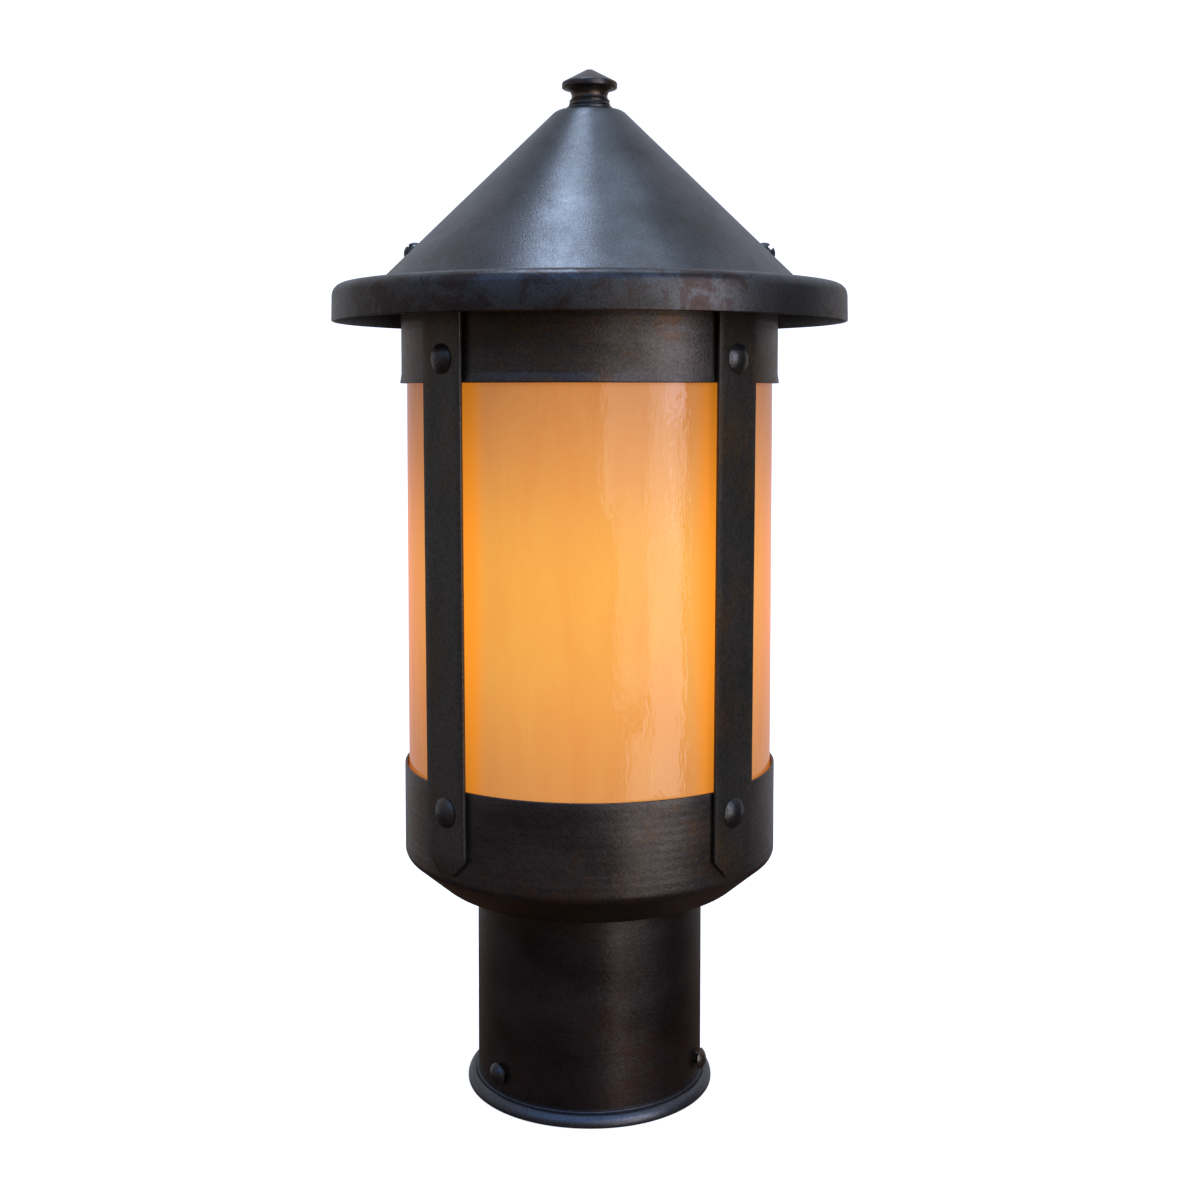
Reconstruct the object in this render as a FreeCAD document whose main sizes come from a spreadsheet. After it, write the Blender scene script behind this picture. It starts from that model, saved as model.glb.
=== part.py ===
import FreeCAD, Part
import math
import os
import re
from collections import namedtuple
import Sketcher
from FreeCAD import Placement, Rotation, Vector

# Outdoor post light: a glass cylinder held between a cup and a band by four straps, under a conical roof.
# Millimetres and degrees. +Z is up, and the origin is the middle of the post fitter's foot.

SIZES = {
    # clearances
    "seat_gap": 0.1,
    "solder_gap": 0.05,
    "thread_gap": 0.05,
    "body_gap": 0.3,
    "cut_overrun": 5.0,
    # post fitter, for a 3 inch post
    "post_diameter": 76.2,
    "post_clearance": 0.7,
    "fitter_wall": 1.2,
    "fitter_height": 72.0,
    "fitter_foot_rounding": 1.0,
    "bead_radius": 2.15,
    "bead_reach": 3.9,
    "register_depth": 0.5,
    # pressed plate that closes the fitter's top and stops the post
    "plate_wall": 1.6,
    "plate_skirt": 11.5,
    "plate_rounding": 2.4,
    # set screws
    "set_screw_height": 11.5,
    "set_screw_first_angle": -140.0,
    "set_screw_spread": 120.0,
    "set_screw_head_radius": 3.75,
    "set_screw_head_height": 2.2,
    "set_screw_stand_off": 1.3,
    "set_screw_shank_radius": 2.08,
    # lower cup
    "cup_wall": 1.0,
    "cup_glass_gap": 0.6,
    "cup_height": 44.4,
    "cup_slope_reach": 13.9,
    "cup_cone_angle": 40.0,
    "cup_turn_rounding": 8.0,
    "cup_floor_rounding": 10.0,
    "rim_rounding": 0.35,
    # glass and its gaskets
    "glass_radius": 64.0,
    "glass_wall": 3.0,
    "glass_edge_rounding": 0.6,
    "glass_seat_rise": 3.1,
    "glass_in_band": 12.8,
    "seat_ring_inner_lip": 1.0,
    "seat_ring_outer_lip": 0.2,
    "channel_wall": 0.8,
    "channel_web": 1.2,
    "channel_depth": 5.0,
    # top band
    "open_glass_height": 132.8,
    "band_wall": 1.0,
    "band_glass_gap": 1.0,
    "band_height": 40.5,
    "band_flare": 0.55,
    "band_flare_height": 3.3,
    # straps
    "strap_first_angle": 45.0,
    "strap_width": 19.0,
    "strap_thickness": 1.2,
    "strap_clip": 6.0,
    "strap_foot_rise": 3.1,
    "strap_top_drop": 5.7,
    # strap rivets
    "rivet_head_radius": 5.0,
    "rivet_head_height": 1.9,
    "rivet_shank_radius": 2.0,
    "band_rivet_rise": 7.8,
    "cup_rivet_drop": 7.9,
    # roof
    "roof_wall": 1.0,
    "roof_ledge": 14.5,
    "roof_skirt_height": 11.9,
    "roof_skirt_draft": 0.3,
    "roof_shoulder_rounding": 4.0,
    "roof_overhang": 9.4,
    "roof_cone_angle": 44.15,
    "roof_valley_rounding": 1.2,
    "roof_top_radius": 11.64,
    "roof_top_rounding": 4.0,
    # roof screws, their nuts and the legs behind them
    "roof_screw_inset": 3.0,
    "roof_screw_head_radius": 3.75,
    "roof_screw_head_height": 3.0,
    "roof_screw_shank_radius": 2.0,
    "roof_screw_end": 1.0,
    "slot_width": 1.6,
    "slot_depth": 1.7,
    "right_slot_turn": 0.0,
    "left_slot_turn": 22.0,
    "small_nut_flats": 6.35,
    "small_nut_height": 3.0,
    "leg_thickness": 1.2,
    "leg_width": 10.0,
    "leg_bend": 1.0,
    "leg_cone_gap": 0.35,
    "leg_band_gap": 0.6,
    "leg_past_screw": 7.0,
    "leg_above_glass": 5.0,
    # finial
    "finial_foot_radius": 8.0,
    "finial_foot_height": 1.3,
    "finial_neck_radius": 6.5,
    "finial_bead_height": 2.1,
    "finial_bead_bulge": 0.8,
    "finial_neck_height": 4.1,
    "finial_neck_rounding": 1.8,
    "finial_flange_radius": 9.67,
    "finial_flange_edge": 2.2,
    "finial_flange_rounding": 0.7,
    "finial_cap_angle": 28.0,
    "finial_tip_radius": 1.2,
    "finial_hole_depth": 6.0,
    "stud_radius": 2.0,
    "stud_end": 1.5,
    "stud_tip_gap": 0.8,
    "finial_washer_radius": 5.5,
    "finial_washer_height": 0.8,
    # nipple, its nuts and washer, and the bushing in its lower end
    "nipple_radius": 5.15,
    "nipple_bore": 3.3,
    "nipple_below_nut": 2.0,
    "nipple_above_cap": 5.0,
    "nipple_nut_flats": 14.3,
    "nipple_nut_height": 3.0,
    "nipple_washer_radius": 9.5,
    "nipple_washer_height": 1.0,
    "bushing_wall": 0.9,
    "bushing_flange_radius": 5.0,
    "bushing_flange_height": 1.2,
    "bushing_length": 5.0,
    # earth screw
    "earth_screw_reach": 25.0,
    "earth_screw_head_radius": 4.0,
    "earth_screw_head_height": 2.2,
    "earth_screw_shank_radius": 2.0,
    "earth_screw_end": 2.0,
    # lampholder
    "holder_cap_radius": 15.0,
    "holder_cap_height": 1.5,
    "holder_screw_reach": 11.5,
    "holder_screw_head_radius": 2.5,
    "holder_screw_head_height": 1.8,
    "holder_screw_shank_radius": 1.5,
    "holder_screw_bite": 6.0,
    "holder_base_radius": 17.5,
    "holder_base_height": 19.0,
    "holder_body_radius": 19.5,
    "holder_step_height": 3.0,
    "holder_rim_drop": 0.8,
    "holder_bore": 14.4,
    "holder_floor_height": 13.5,
    "holder_recess_radius": 6.5,
    "holder_recess_depth": 7.0,
    "holder_rounding": 1.2,
    "shell_gap": 0.15,
    "shell_wall": 0.4,
    "shell_top_drop": 1.0,
    "shell_floor_hole": 6.5,
    "contact_radius": 5.0,
    "contact_height": 4.2,
    "contact_plate_height": 0.8,
    "contact_tip_radius": 3.0,
    "terminal_height": 9.5,
    "terminal_head_radius": 3.2,
    "terminal_head_height": 1.6,
    "terminal_shank_radius": 1.6,
    "terminal_bite": 6.0,
    # lamp
    "lamp_contact_radius": 4.7,
    "lamp_contact_height": 1.5,
    "lamp_contact_dome": 0.8,
    "lamp_insulator_height": 3.5,
    "lamp_insulator_radius": 12.3,
    "lamp_insulator_edge": 1.0,
    "lamp_cap_radius": 13.15,
    "lamp_cap_wall": 0.4,
    "lamp_cap_height": 25.3,
    "lamp_cap_bevel": 0.9,
    "lamp_cap_lap": 1.6,
    "lamp_neck_radius": 12.6,
    "lamp_neck_in_cap": 0.2,
    "lamp_globe_radius": 30.0,
    "lamp_globe_height": 78.0,
    "lamp_glass_wall": 0.8,
    "stem_foot_edge": 0.8,
    "stem_foot_height": 6.0,
    "stem_radius": 3.5,
    "stem_height": 26.0,
    "lead_radius": 0.4,
    "lead_foot_reach": 2.0,
    "lead_tip_reach": 9.0,
    "filament_radius": 0.6,
}

# Places and sizes that follow from the ones above.
PLACES = {
    "fitter_bore": "post_diameter / 2 + post_clearance",
    "fitter_radius": "fitter_bore + fitter_wall",
    "bead_middle": "fitter_radius + bead_reach - bead_radius",
    "bead_meets_tube": "bead_radius + sqrt(bead_radius ^ 2 - (bead_middle - fitter_radius) ^ 2)",
    "register_radius": "fitter_bore + register_depth",
    "plate_radius": "register_radius - solder_gap",
    "post_stop": "fitter_height - plate_skirt",
    "set_screw_hole": "set_screw_shank_radius + thread_gap",
    "cup_floor": "fitter_height",
    "cup_floor_top": "cup_floor + cup_wall",
    "cup_rim": "cup_floor + cup_height",
    "cup_inside": "glass_radius + cup_glass_gap",
    "cup_radius": "cup_inside + cup_wall",
    "cup_floor_radius": "cup_inside - cup_slope_reach",
    "cup_turn": "cup_floor + (cup_radius - cup_floor_radius) * tan(cup_cone_angle)",
    "cup_turn_inside": "cup_turn + (cup_wall / cos(cup_cone_angle) - cup_wall * tan(cup_cone_angle))",
    "cup_turn_middle": "cup_inside - cup_turn_rounding + cup_wall",
    "cup_turn_middle_height": "cup_turn_inside"
                              " + (cup_turn_rounding - cup_wall) * tan(45 - cup_cone_angle / 2)",
    "glass_bottom": "cup_turn_inside + glass_seat_rise",
    "glass_inside": "glass_radius - glass_wall",
    "band_bottom": "cup_rim + open_glass_height",
    "band_top": "band_bottom + band_height",
    "band_inside": "glass_radius + band_glass_gap",
    "band_radius": "band_inside + band_wall",
    "glass_top": "band_bottom + glass_in_band",
    "strap_bottom": "cup_turn + strap_foot_rise",
    "strap_top": "band_top - strap_top_drop",
    "strap_lean": "atan((band_radius + band_flare - cup_radius) / (band_bottom - strap_bottom))",
    "strap_foot_reach": "cup_radius + solder_gap",
    "strap_length": "(strap_top - strap_bottom) / cos(strap_lean)",
    "band_rivet": "band_bottom + band_rivet_rise",
    "cup_rivet": "cup_rim - cup_rivet_drop",
    "rivet_hole": "rivet_shank_radius + solder_gap",
    "roof_cone_radius": "band_radius + roof_overhang",
    "roof_shoulder": "band_top + (body_gap + roof_wall) / cos(roof_cone_angle)"
                     " - roof_overhang * tan(roof_cone_angle)",
    "roof_top": "roof_shoulder + (roof_cone_radius - roof_top_radius) * tan(roof_cone_angle)",
    "roof_radius": "roof_cone_radius + roof_ledge",
    "roof_brim": "roof_shoulder - roof_skirt_height",
    "roof_inset": "roof_wall * tan(roof_cone_angle / 2)",
    "roof_screw_reach": "band_inside - roof_screw_inset",
    "roof_screw_seat": "roof_shoulder + (roof_cone_radius - roof_screw_reach) * tan(roof_cone_angle)",
    "roof_screw_hole": "roof_screw_shank_radius + thread_gap",
    "leg_face_depth": "roof_wall + leg_cone_gap",
    "leg_reach": "band_inside - leg_band_gap",
    "leg_foot": "glass_top + leg_above_glass",
    "roof_screw_length": "leg_face_depth + leg_thickness + small_nut_height + roof_screw_end",
    "finial_bead_top": "finial_foot_height + finial_bead_height",
    "finial_flange_bottom": "finial_bead_top + finial_neck_height",
    "finial_flange_top": "finial_flange_bottom + finial_flange_edge",
    "finial_tip_start": "finial_flange_top"
                        " + (finial_flange_radius - finial_tip_radius) * tan(finial_cap_angle)",
    "finial_tip_round": "finial_tip_radius / sin(finial_cap_angle)",
    "finial_tip_top": "finial_tip_start + finial_tip_round * (1 - cos(finial_cap_angle))",
    "stud_hole": "stud_radius + thread_gap",
    "nipple_hole": "nipple_radius + thread_gap",
    "holder_cap_bottom": "cup_floor_top + nipple_nut_height",
    "holder_bottom": "holder_cap_bottom + holder_cap_height",
    "nipple_top": "holder_bottom + nipple_above_cap",
    "plate_underside": "fitter_height - plate_wall",
    "lower_nut_bottom": "plate_underside - nipple_washer_height - nipple_nut_height",
    "nipple_bottom": "lower_nut_bottom - nipple_below_nut",
    "earth_screw_hole": "earth_screw_shank_radius + thread_gap",
    "holder_screw_hole": "holder_screw_shank_radius + thread_gap",
    "terminal_hole": "terminal_shank_radius + thread_gap",
    "terminal_seat": "holder_base_radius + seat_gap",
    "holder_floor": "holder_bottom + holder_floor_height",
    "holder_screw_length": "holder_cap_height + holder_screw_bite",
    "shell_radius": "holder_bore - shell_gap",
    "lamp_tip": "holder_floor + contact_height + body_gap",
    "lamp_insulator_bottom": "lamp_tip + lamp_contact_height",
    "lamp_insulator_top": "lamp_insulator_bottom + lamp_insulator_height",
    "lamp_cap_bottom": "lamp_insulator_top - lamp_cap_lap",
    "lamp_cap_top": "lamp_tip + lamp_cap_height",
    "holder_top": "lamp_cap_top - holder_rim_drop",
    "holder_height": "holder_top - holder_bottom",
    "lamp_neck": "lamp_cap_top - lamp_neck_in_cap",
    "lamp_middle": "lamp_tip + lamp_globe_height",
    "lamp_drop": "lamp_middle - lamp_neck",
    "lamp_swing": "atan(lamp_drop / lamp_neck_radius)"
                  " + asin(lamp_globe_radius / sqrt(lamp_neck_radius ^ 2 + lamp_drop ^ 2))",
    "stem_bottom": "lamp_neck + lamp_glass_wall",
    "stem_foot_radius": "lamp_neck_radius - lamp_glass_wall - seat_gap",
    "stem_top": "lamp_neck + stem_height",
    "lead_bottom": "stem_top + seat_gap",
    "lead_lean": "atan((lead_tip_reach - lead_foot_reach) / (lamp_middle - lead_bottom))",
}

SET_SCREWS = 3
STRAPS = 4
HEXAGON_SIDES = 6
FULL_TURN = 360
HALF_TURN = 180
QUARTER_TURN = 90

Corner = namedtuple("Corner", "across up rounding bow hollow", defaults=(None, None, False))

document = FreeCAD.newDocument("post_light")
sheet = document.addObject("Spreadsheet::Sheet", "Sizes")
finished = []


def fill_sheet():
    for row, (alias, size) in enumerate(SIZES.items(), start=1):
        sheet.set(f"A{row}", alias)
        sheet.set(f"B{row}", str(size))
        sheet.setAlias(f"B{row}", alias)
    document.recompute()


def spell(formula):
    # writes a formula of size and place names as an expression on the sheet
    def swap(match):
        word = match.group(0)
        if word in PLACES:
            return f"({spell(PLACES[word])})"
        return f"Sizes.{word}" if word in SIZES else word
    return re.sub(r"[A-Za-z_]\w*", swap, formula)


def value(formula):
    result = sheet.evalExpression(spell(formula))
    return float(getattr(result, "Value", result))


def new_body(label):
    body = document.addObject("PartDesign::Body", label)
    body.Label = label
    finished.append(body)
    return body


def own_origin(body, role):
    return next(feature for feature in body.Origin.OriginFeatures if feature.Role == role)


def new_sketch(body, plane, name):
    sketch = body.newObject("Sketcher::SketchObject", name)
    sketch.AttachmentSupport = (own_origin(body, plane), [""])
    sketch.MapMode = "FlatFace"
    return sketch


def arc_between(start, finish, middle):
    angles = [math.atan2(spot.y - middle.y, spot.x - middle.x) for spot in (start, finish)]
    circle = Part.Circle(middle, Vector(0, 0, 1), (start - middle).Length)
    return Part.ArcOfCircle(circle, angles[0], angles[1])


def bowed_side(start, finish, radius, hollow):
    # an arc under a half circle that leaves the outline's inside on the left, or bites into it if hollow
    chord = finish - start
    leftwards = Vector(-chord.y, chord.x, 0).normalize()
    rise = math.sqrt(max(radius ** 2 - (chord.Length / 2) ** 2, 0))
    middle = (start + finish) / 2 + leftwards * (-rise if hollow else rise)
    if hollow:
        return arc_between(finish, start, middle), 2, 1
    return arc_between(start, finish, middle), 1, 2


def bind_constraint(sketch, constraint, name, formula):
    number = sketch.addConstraint(constraint)
    sketch.renameConstraint(number, name)
    sketch.setExpression(f"Constraints.{name}", spell(formula))


def pin_spot(sketch, geometry, end, across, up, name):
    for axis, kind, formula in ((-2, "DistanceX", across), (-1, "DistanceY", up)):
        if formula == "0":
            sketch.addConstraint(Sketcher.Constraint("PointOnObject", geometry, end, axis))
        else:
            distance = Sketcher.Constraint(kind, -1, 1, geometry, end, value(formula))
            bind_constraint(sketch, distance, name + kind[-1], formula)


def draw_outline(body, plane, corners, name):
    # a closed outline, listed anticlockwise; a corner may be rounded, and the side after it may be an arc
    sketch = new_sketch(body, plane, name)
    spots = [Vector(value(corner.across), value(corner.up), 0) for corner in corners]
    count = len(corners)
    trims = []
    for number, corner in enumerate(corners):
        back = spots[number - 1] - spots[number]
        ahead = spots[(number + 1) % count] - spots[number]
        radius = value(corner.rounding) if corner.rounding else 0
        trims.append(radius / math.tan(back.getAngle(ahead) / 2) if radius else 0)
    sides = []
    for number, corner in enumerate(corners):
        start = spots[number]
        finish = spots[(number + 1) % count]
        if corner.bow:
            curve, first, last = bowed_side(start, finish, value(corner.bow), corner.hollow)
            side = sketch.addGeometry(curve, False)
            bow = Sketcher.Constraint("Radius", side, value(corner.bow))
            bind_constraint(sketch, bow, f"bow{number}", corner.bow)
        else:
            way = (finish - start).normalize()
            next_trim = trims[(number + 1) % count]
            trimmed = Part.LineSegment(start + way * trims[number], finish - way * next_trim)
            side, first, last = sketch.addGeometry(trimmed, False), 1, 2
        sides.append((side, first, last))
    for number, corner in enumerate(corners):
        side, first, _ = sides[number]
        previous, _, last = sides[number - 1]
        if corner.rounding:
            round_corner(sketch, spots, number, trims[number], corner, (previous, last), (side, first))
        else:
            sketch.addConstraint(Sketcher.Constraint("Coincident", previous, last, side, first))
            pin_spot(sketch, side, first, corner.across, corner.up, f"corner{number}")
    return sketch


def round_corner(sketch, spots, number, trim, corner, previous, following):
    spot = spots[number]
    back = (spots[number - 1] - spot).normalize()
    ahead = (spots[(number + 1) % len(spots)] - spot).normalize()
    radius = value(corner.rounding)
    bisector = (back + ahead).normalize()
    middle = spot + bisector * math.hypot(radius, trim)
    start, finish = spot + back * trim, spot + ahead * trim
    outward = (-back).cross(ahead).z > 0
    curve = arc_between(start, finish, middle) if outward else arc_between(finish, start, middle)
    first, last = (1, 2) if outward else (2, 1)
    arc = sketch.addGeometry(curve, False)
    point = sketch.addGeometry(Part.Point(spot), True)
    pin_spot(sketch, point, 1, corner.across, corner.up, f"corner{number}")
    sketch.addConstraint(Sketcher.Constraint("PointOnObject", point, 1, previous[0]))
    sketch.addConstraint(Sketcher.Constraint("PointOnObject", point, 1, following[0]))
    sketch.addConstraint(Sketcher.Constraint("Tangent", previous[0], previous[1], arc, first))
    sketch.addConstraint(Sketcher.Constraint("Tangent", arc, last, following[0], following[1]))
    bind_constraint(sketch, Sketcher.Constraint("Radius", arc, radius), f"round{number}", corner.rounding)


def draw_circles(body, plane, circles, radius, name):
    sketch = new_sketch(body, plane, name)
    for number, (across, up) in enumerate(circles):
        middle = Vector(value(across), value(up), 0)
        circle = sketch.addGeometry(Part.Circle(middle, Vector(0, 0, 1), value(radius)), False)
        pin_spot(sketch, circle, 3, across, up, f"middle{number}")
        size = Sketcher.Constraint("Radius", circle, value(radius))
        bind_constraint(sketch, size, f"radius{number}", radius)
    return sketch


def finish_feature(body, feature):
    body.Tip = feature
    document.recompute()
    return feature


def turn_outline(body, corners, axis="V_Axis", name="turned"):
    turn = body.newObject("PartDesign::Revolution", name)
    turn.Profile = draw_outline(body, "XZ_Plane", corners, name + "_outline")
    turn.ReferenceAxis = (turn.Profile[0], [axis])
    turn.Angle = FULL_TURN
    return finish_feature(body, turn)


def turned(label, corners, axis="V_Axis"):
    body = new_body(label)
    turn_outline(body, corners, axis)
    return body


def pad_outline(body, plane, corners, length, both_ways=False, name="padded"):
    pad = body.newObject("PartDesign::Pad", name)
    pad.Profile = draw_outline(body, plane, corners, name + "_outline")
    pad.SideType = "Symmetric" if both_ways else "One side"
    pad.setExpression("Length", spell(length))
    return finish_feature(body, pad)


def cut_sketch(body, sketch, name, one_way=False, depth=None):
    # one_way cuts only from the sketch's plane along its normal, and depth stops that cut
    volume = body.Shape.Volume
    pocket = body.newObject("PartDesign::Pocket", name)
    pocket.Profile = sketch
    pocket.SideType = "One side" if one_way else "Symmetric"
    pocket.Reversed = one_way
    pocket.Type = "Length" if depth else "ThroughAll"
    if depth:
        pocket.setExpression("Length", spell(depth))
    finish_feature(body, pocket)
    if body.Shape.Volume >= volume:
        raise RuntimeError(f"{name} of {body.Label} cuts nothing")
    return pocket


def groove_outline(body, corners, name):
    volume = body.Shape.Volume
    groove = body.newObject("PartDesign::Groove", name)
    groove.Profile = draw_outline(body, "XZ_Plane", corners, name + "_outline")
    groove.ReferenceAxis = (groove.Profile[0], ["Edge1"])
    groove.Angle = FULL_TURN
    finish_feature(body, groove)
    if body.Shape.Volume >= volume:
        raise RuntimeError(f"{name} of {body.Label} cuts nothing")
    return groove


def repeat_round(body, feature, copies):
    pattern = body.newObject("PartDesign::PolarPattern", feature.Name + "_ring")
    pattern.Originals = [feature]
    pattern.Axis = (own_origin(body, "Z_Axis"), [""])
    pattern.Angle = FULL_TURN
    pattern.Occurrences = copies
    return finish_feature(body, pattern)


def radial_holes(body, height, radius, copies, name):
    sketch = draw_circles(body, "YZ_Plane", [("0", height)], radius, name + "_circle")
    hole = cut_sketch(body, sketch, name, one_way=True)
    return repeat_round(body, hole, copies)


def upright_holes(body, middles, radius, name, depth=None):
    sketch = draw_circles(body, "XY_Plane", middles, radius, name + "_circles")
    return cut_sketch(body, sketch, name, one_way=depth is not None, depth=depth)


def turn_about_z(angle):
    return Placement(Vector(0, 0, 0), Rotation(Vector(0, 0, 1), angle))


def hex_nut(label, flats, height, hole, placement):
    prism = document.addObject("Part::Prism", label + "_prism")
    prism.Polygon = HEXAGON_SIDES
    prism.setExpression("Circumradius", spell(f"{flats} / 2 / cos({HALF_TURN / HEXAGON_SIDES})"))
    prism.setExpression("Height", spell(height))
    bore = document.addObject("Part::Cylinder", label + "_bore")
    bore.setExpression("Radius", spell(hole))
    bore.setExpression("Height", spell(height))
    nut = document.addObject("Part::Cut", label)
    nut.Base = prism
    nut.Tool = bore
    nut.Label = label
    nut.Placement = placement
    finished.append(nut)
    return nut


def dome_radius(width, height):
    # the ball that a domed head of this half width and height is cut from
    return f"({width} ^ 2 + {height} ^ 2) / (2 * {height})"


def ring(label, inside, outside, bottom, height):
    return turned(label, [
        Corner(inside, bottom),
        Corner(outside, bottom),
        Corner(outside, f"{bottom} + {height}"),
        Corner(inside, f"{bottom} + {height}"),
    ])


def build_post_fitter():
    body = turned("post_fitter", [
        Corner("fitter_bore", "0", rounding="fitter_foot_rounding"),
        Corner("bead_middle", "0", bow="bead_radius"),
        Corner("bead_middle + bead_radius", "bead_radius", bow="bead_radius"),
        Corner("bead_middle", "2 * bead_radius", bow="bead_radius"),
        Corner("fitter_radius", "bead_meets_tube"),
        Corner("fitter_radius", "fitter_height"),
        Corner("register_radius", "fitter_height"),
        Corner("register_radius", "post_stop - body_gap"),
        Corner("fitter_bore", "post_stop - body_gap"),
    ])
    radial_holes(body, "set_screw_height", "set_screw_hole", SET_SCREWS, "set_screw_hole")
    body.Placement = turn_about_z(value("set_screw_first_angle"))


def build_fitter_plate():
    body = turned("fitter_plate", [
        Corner("nipple_hole", "plate_underside"),
        Corner("plate_radius - plate_wall", "plate_underside", rounding="plate_rounding - plate_wall"),
        Corner("plate_radius - plate_wall", "post_stop"),
        Corner("plate_radius", "post_stop"),
        Corner("plate_radius", "fitter_height", rounding="plate_rounding"),
        Corner("nipple_hole", "fitter_height"),
    ])
    upright_holes(body, [("0", "earth_screw_reach")], "earth_screw_hole", "earth_hole")
    body.Placement = turn_about_z(value("strap_first_angle"))


def build_set_screw(number):
    # domed head, with the tip flush with the fitter's bore
    body = turned(f"set_screw_{number + 1}", [
        Corner("0", "fitter_bore"),
        Corner("set_screw_shank_radius", "fitter_bore"),
        Corner("set_screw_shank_radius", "fitter_radius + set_screw_stand_off"),
        Corner("set_screw_head_radius", "fitter_radius + set_screw_stand_off",
               bow=dome_radius("set_screw_head_radius", "set_screw_head_height")),
        Corner("0", "fitter_radius + set_screw_stand_off + set_screw_head_height"),
    ])
    lying = Placement(Vector(0, 0, value("set_screw_height")), Rotation(Vector(0, 1, 0), QUARTER_TURN))
    angle = value("set_screw_first_angle") + number * value("set_screw_spread")
    body.Placement = turn_about_z(angle) * lying


def build_lower_cup():
    body = turned("lower_cup", [
        Corner("nipple_hole", "cup_floor"),
        Corner("cup_floor_radius", "cup_floor", rounding="cup_floor_rounding"),
        Corner("cup_radius", "cup_turn", rounding="cup_turn_rounding"),
        Corner("cup_radius", "cup_rim", rounding="rim_rounding"),
        Corner("cup_inside", "cup_rim"),
        Corner("cup_inside", "cup_turn_inside", rounding="cup_turn_rounding - cup_wall"),
        Corner("cup_floor_radius - cup_wall * tan(cup_cone_angle / 2)", "cup_floor_top",
               rounding="cup_floor_rounding - cup_wall"),
        Corner("nipple_hole", "cup_floor_top"),
    ])
    upright_holes(body, [("0", "earth_screw_reach")], "earth_screw_hole", "earth_hole")
    radial_holes(body, "cup_rivet", "rivet_hole", STRAPS, "rivet_hole")
    body.Placement = turn_about_z(value("strap_first_angle"))


def build_top_band():
    body = turned("top_band", [
        Corner("band_inside + band_flare", "band_bottom"),
        Corner("band_radius + band_flare", "band_bottom", rounding="rim_rounding"),
        Corner("band_radius", "band_bottom + band_flare_height"),
        Corner("band_radius", "band_top"),
        Corner("band_inside", "band_top"),
        Corner("band_inside", "band_bottom + band_flare_height"),
    ])
    radial_holes(body, "band_rivet", "rivet_hole", STRAPS, "rivet_hole")
    body.Placement = turn_about_z(value("strap_first_angle"))


def build_strap(label, angle):
    # flat bar that leans from the cup's wall out to the band's flared edge
    body = new_body(label)
    pad_outline(body, "YZ_Plane", [
        Corner("strap_clip - strap_width / 2", "0"),
        Corner("strap_width / 2 - strap_clip", "0"),
        Corner("strap_width / 2", "strap_clip"),
        Corner("strap_width / 2", "strap_length"),
        Corner("-strap_width / 2", "strap_length"),
        Corner("-strap_width / 2", "strap_clip"),
    ], "strap_thickness")
    heights = [f"({rivet} - strap_bottom) / cos(strap_lean)" for rivet in ("cup_rivet", "band_rivet")]
    middles = [("0", height) for height in heights]
    circles = draw_circles(body, "YZ_Plane", middles, "rivet_hole", "rivet_circles")
    cut_sketch(body, circles, "rivet_holes")
    foot = Vector(value("strap_foot_reach"), 0, value("strap_bottom"))
    body.Placement = turn_about_z(angle) * Placement(foot, Rotation(Vector(0, 1, 0), value("strap_lean")))


def build_strap_rivets(label, height, tail):
    # domed head on the strap, shank through strap and wall, tail set flush so that the glass clears it
    strap_back = f"strap_foot_reach + ({height} - strap_bottom) * tan(strap_lean)"
    seat = f"({strap_back} + strap_thickness / cos(strap_lean) + solder_gap)"
    body = new_body(label)
    rivet = turn_outline(body, [
        Corner(tail, "0"),
        Corner(f"{seat} + rivet_head_height", "0", bow=dome_radius("rivet_head_radius", "rivet_head_height")),
        Corner(seat, "rivet_head_radius"),
        Corner(seat, "rivet_shank_radius"),
        Corner(tail, "rivet_shank_radius"),
    ], axis="H_Axis")
    repeat_round(body, rivet, STRAPS)
    body.Placement = Placement(Vector(0, 0, value(height)), turn_about_z(value("strap_first_angle")).Rotation)


def build_glass_cylinder():
    turned("glass_cylinder", [
        Corner("glass_inside", "glass_bottom", rounding="glass_edge_rounding"),
        Corner("glass_radius", "glass_bottom", rounding="glass_edge_rounding"),
        Corner("glass_radius", "glass_top", rounding="glass_edge_rounding"),
        Corner("glass_inside", "glass_top", rounding="glass_edge_rounding"),
    ])


def build_glass_seat_ring():
    # its underside follows the cup's cone and the start of the turn
    inside = "(glass_inside - seat_ring_inner_lip)"
    turn_start = "(cup_turn_middle + (cup_turn_rounding - cup_wall) * sin(cup_cone_angle))"
    outside = "(glass_radius + seat_ring_outer_lip)"
    turn_drop = f"sqrt((cup_turn_rounding - cup_wall) ^ 2 - ({outside} - cup_turn_middle) ^ 2)"

    def on_cone(reach):
        rise = f"({reach} - cup_floor_radius) * tan(cup_cone_angle)"
        return f"cup_floor + {rise} + (cup_wall + seat_gap) / cos(cup_cone_angle)"

    turned("glass_seat_ring", [
        Corner(inside, on_cone(inside)),
        Corner(turn_start, on_cone(turn_start)),
        Corner(outside, f"cup_turn_middle_height - {turn_drop} + seat_gap"),
        Corner(outside, "glass_bottom"),
        Corner(inside, "glass_bottom"),
    ])


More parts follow.
